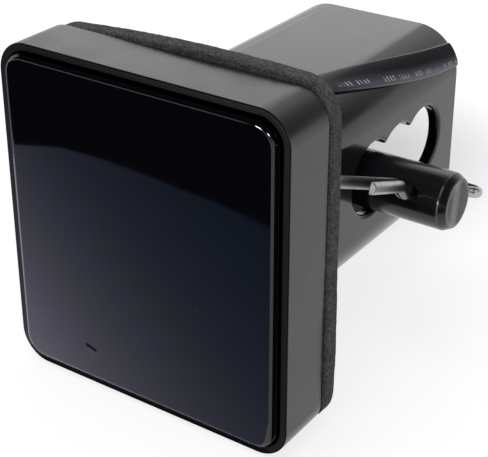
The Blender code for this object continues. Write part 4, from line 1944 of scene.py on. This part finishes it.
def studio_cards(floor_z: float) -> tuple[Card, ...]:
    """The cards round the object, in millimetres.

    Args:
        floor_z: Height of the floor, in metres.

    Returns:
        The dim floor cloth, the black flags and the small lights.
    """
    low, top, front, rear = floor_z / MM, 960, -420, 620
    cloth_z, flag_z, over_flag_z = low + 0.3, low + 0.4, low + 0.6
    cloth_glow = Glow((0.454, 0.416, 0.515), (-30.0, -30.0), (-0.0237, 0.0406))
    cloth = lying(cloth_z, (-150, -1.2), (33, -1.2), (-26, -122), (-150, -122))
    left_cloth = lying(cloth_z, (-900, 40), (-150, 40), (-150, -122), (-900, -122))
    front_flag = lying(
        over_flag_z, (-900, -78), (-200, -84), (-140, -88), (-125, -90), (-111, -97), (-93, -98),
        (-74, -96.8), (-62, -95.5), (-48.3, -94.4), (-35, -92.3), (-26.5, -90.6), (-14, -88),
        (-180, front), (-900, front))
    right_flag = lying(flag_z, (36, -2), (300, -560), (700, -400), (700, -30))
    under_rim = lying(flag_z, (-39, -1.2), (39, -1.2), (39, 1), (-39, 1))
    front_wall = standing(front, (-900, low + 112), (330, low + 112), (330, top), (-900, top))
    right_wall = ((330, front, low + 40), (700, -80, low + 40), (700, -80, top),
                  (330, front, top))
    ceiling = lying(top, (-1400, -1400), (1400, -1400), (1400, 850), (-1400, 850))
    corner_flag = standing(front + 1, (-225, low), (90, low), (90, low + 112), (-225, low + 112))
    rear_flag = standing(
        rear, (-60, 420), (250, 300), (400, 135), (431, 105), (500, 62), (537, 42), (620, 12),
        (780, low + 12), (780, 900), (-60, 900))
    over_pin = square((-0.507, 0.50, 0.70), 400, 120, (41.0, 59.0, 6.0))
    left_spot = square((-0.431, -0.895, -0.113), 330, 40, (31.7, -1.5, 37.8))
    right_spot = square((0.052, -0.993, 0.11), 330, 40, (34.1, -1.4, 36.8))
    return (Card("floor_cloth", cloth, 1.0, tint=(0.039, 0.093, 0.18), glow=cloth_glow),
            Card("left_cloth", left_cloth, 0.3),
            Card("front_flag", front_flag),
            Card("right_flag", right_flag),
            Card("under_rim_flag", under_rim),
            Card("front_wall", front_wall),
            Card("right_wall", right_wall),
            Card("ceiling", ceiling, 0.02),
            Card("corner_flag", corner_flag),
            Card("rear_flag", rear_flag, 1.0, fades=(Fade("X", -60, 520, 1.0, 0.04),)),
            Card("light_over_pin", over_pin, 0.9),
            Card("small_light_left", left_spot, 60.0),
            Card("small_light_right", right_spot, 60.0))


@dataclass(frozen=True)
class PhotoCamera:
    """The camera at the photograph's place and angle."""

    focal_px: float = 1312.757
    centre_px: Station = (244.825, 180.184)
    frame_px: tuple[int, int] = (488, 457)
    azimuth: float = 0.602215679
    elevation: float = 0.462494038
    distance: float = 0.31722031
    target: Point = (-0.000126, 0.04027918, 0.00025895)
    sensor_mm: float = 36.0
    clip_start: float = 0.01

    def build(self) -> bpy.types.Object:
        """Build the camera and make it the scene's.

        Returns:
            The camera's object.
        """
        az, el = self.azimuth, self.elevation
        back = Vector((math.sin(az) * math.cos(el), -math.cos(az) * math.cos(el), math.sin(el)))
        data = bpy.data.cameras.new("photo_camera")
        item = bpy.data.objects.new("photo_camera", data)
        item.location = Vector(self.target) + back * self.distance
        item.rotation_mode = "QUATERNION"
        item.rotation_quaternion = back.to_track_quat("Z", "Y")
        wide, high = self.frame_px
        data.sensor_width = self.sensor_mm
        data.lens = self.focal_px * self.sensor_mm / wide
        data.shift_x = (wide / 2 - self.centre_px[0]) / wide
        data.shift_y = (self.centre_px[1] - high / 2) / wide
        data.clip_start = self.clip_start
        bpy.context.scene.collection.objects.link(item)
        bpy.context.scene.camera = item
        return item


def clear_scene() -> None:
    """Remove the objects that Blender starts with."""
    for item in list(bpy.data.objects):
        bpy.data.objects.remove(item, do_unlink=True)


def main() -> None:
    """Build the part's pieces, the studio and the camera in order."""
    logging.basicConfig(level=logging.INFO, format="%(name)s: %(message)s")
    clear_scene()
    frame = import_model()
    sizes = CoverSizes()
    assemblies: Sequence[Callable[[], bpy.types.Object]] = (
        CapMoulding(sizes).build, GlossPanel(sizes).build, FoamRing(sizes).build,
        SlottedTube(sizes).build, TurnedPin(sizes).build, BentCotter(sizes).build,
        CornerSleeve(sizes).build)
    for build in assemblies:
        build()
    HiddenPieces().dress_all(frame["nodes"])
    floor_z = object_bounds()[0].z
    Studio(floor_z, cards=studio_cards(floor_z)).build()
    PhotoCamera().build()
    bpy.context.scene.view_settings.view_transform = "Standard"


if __name__ == "__main__":
    main()
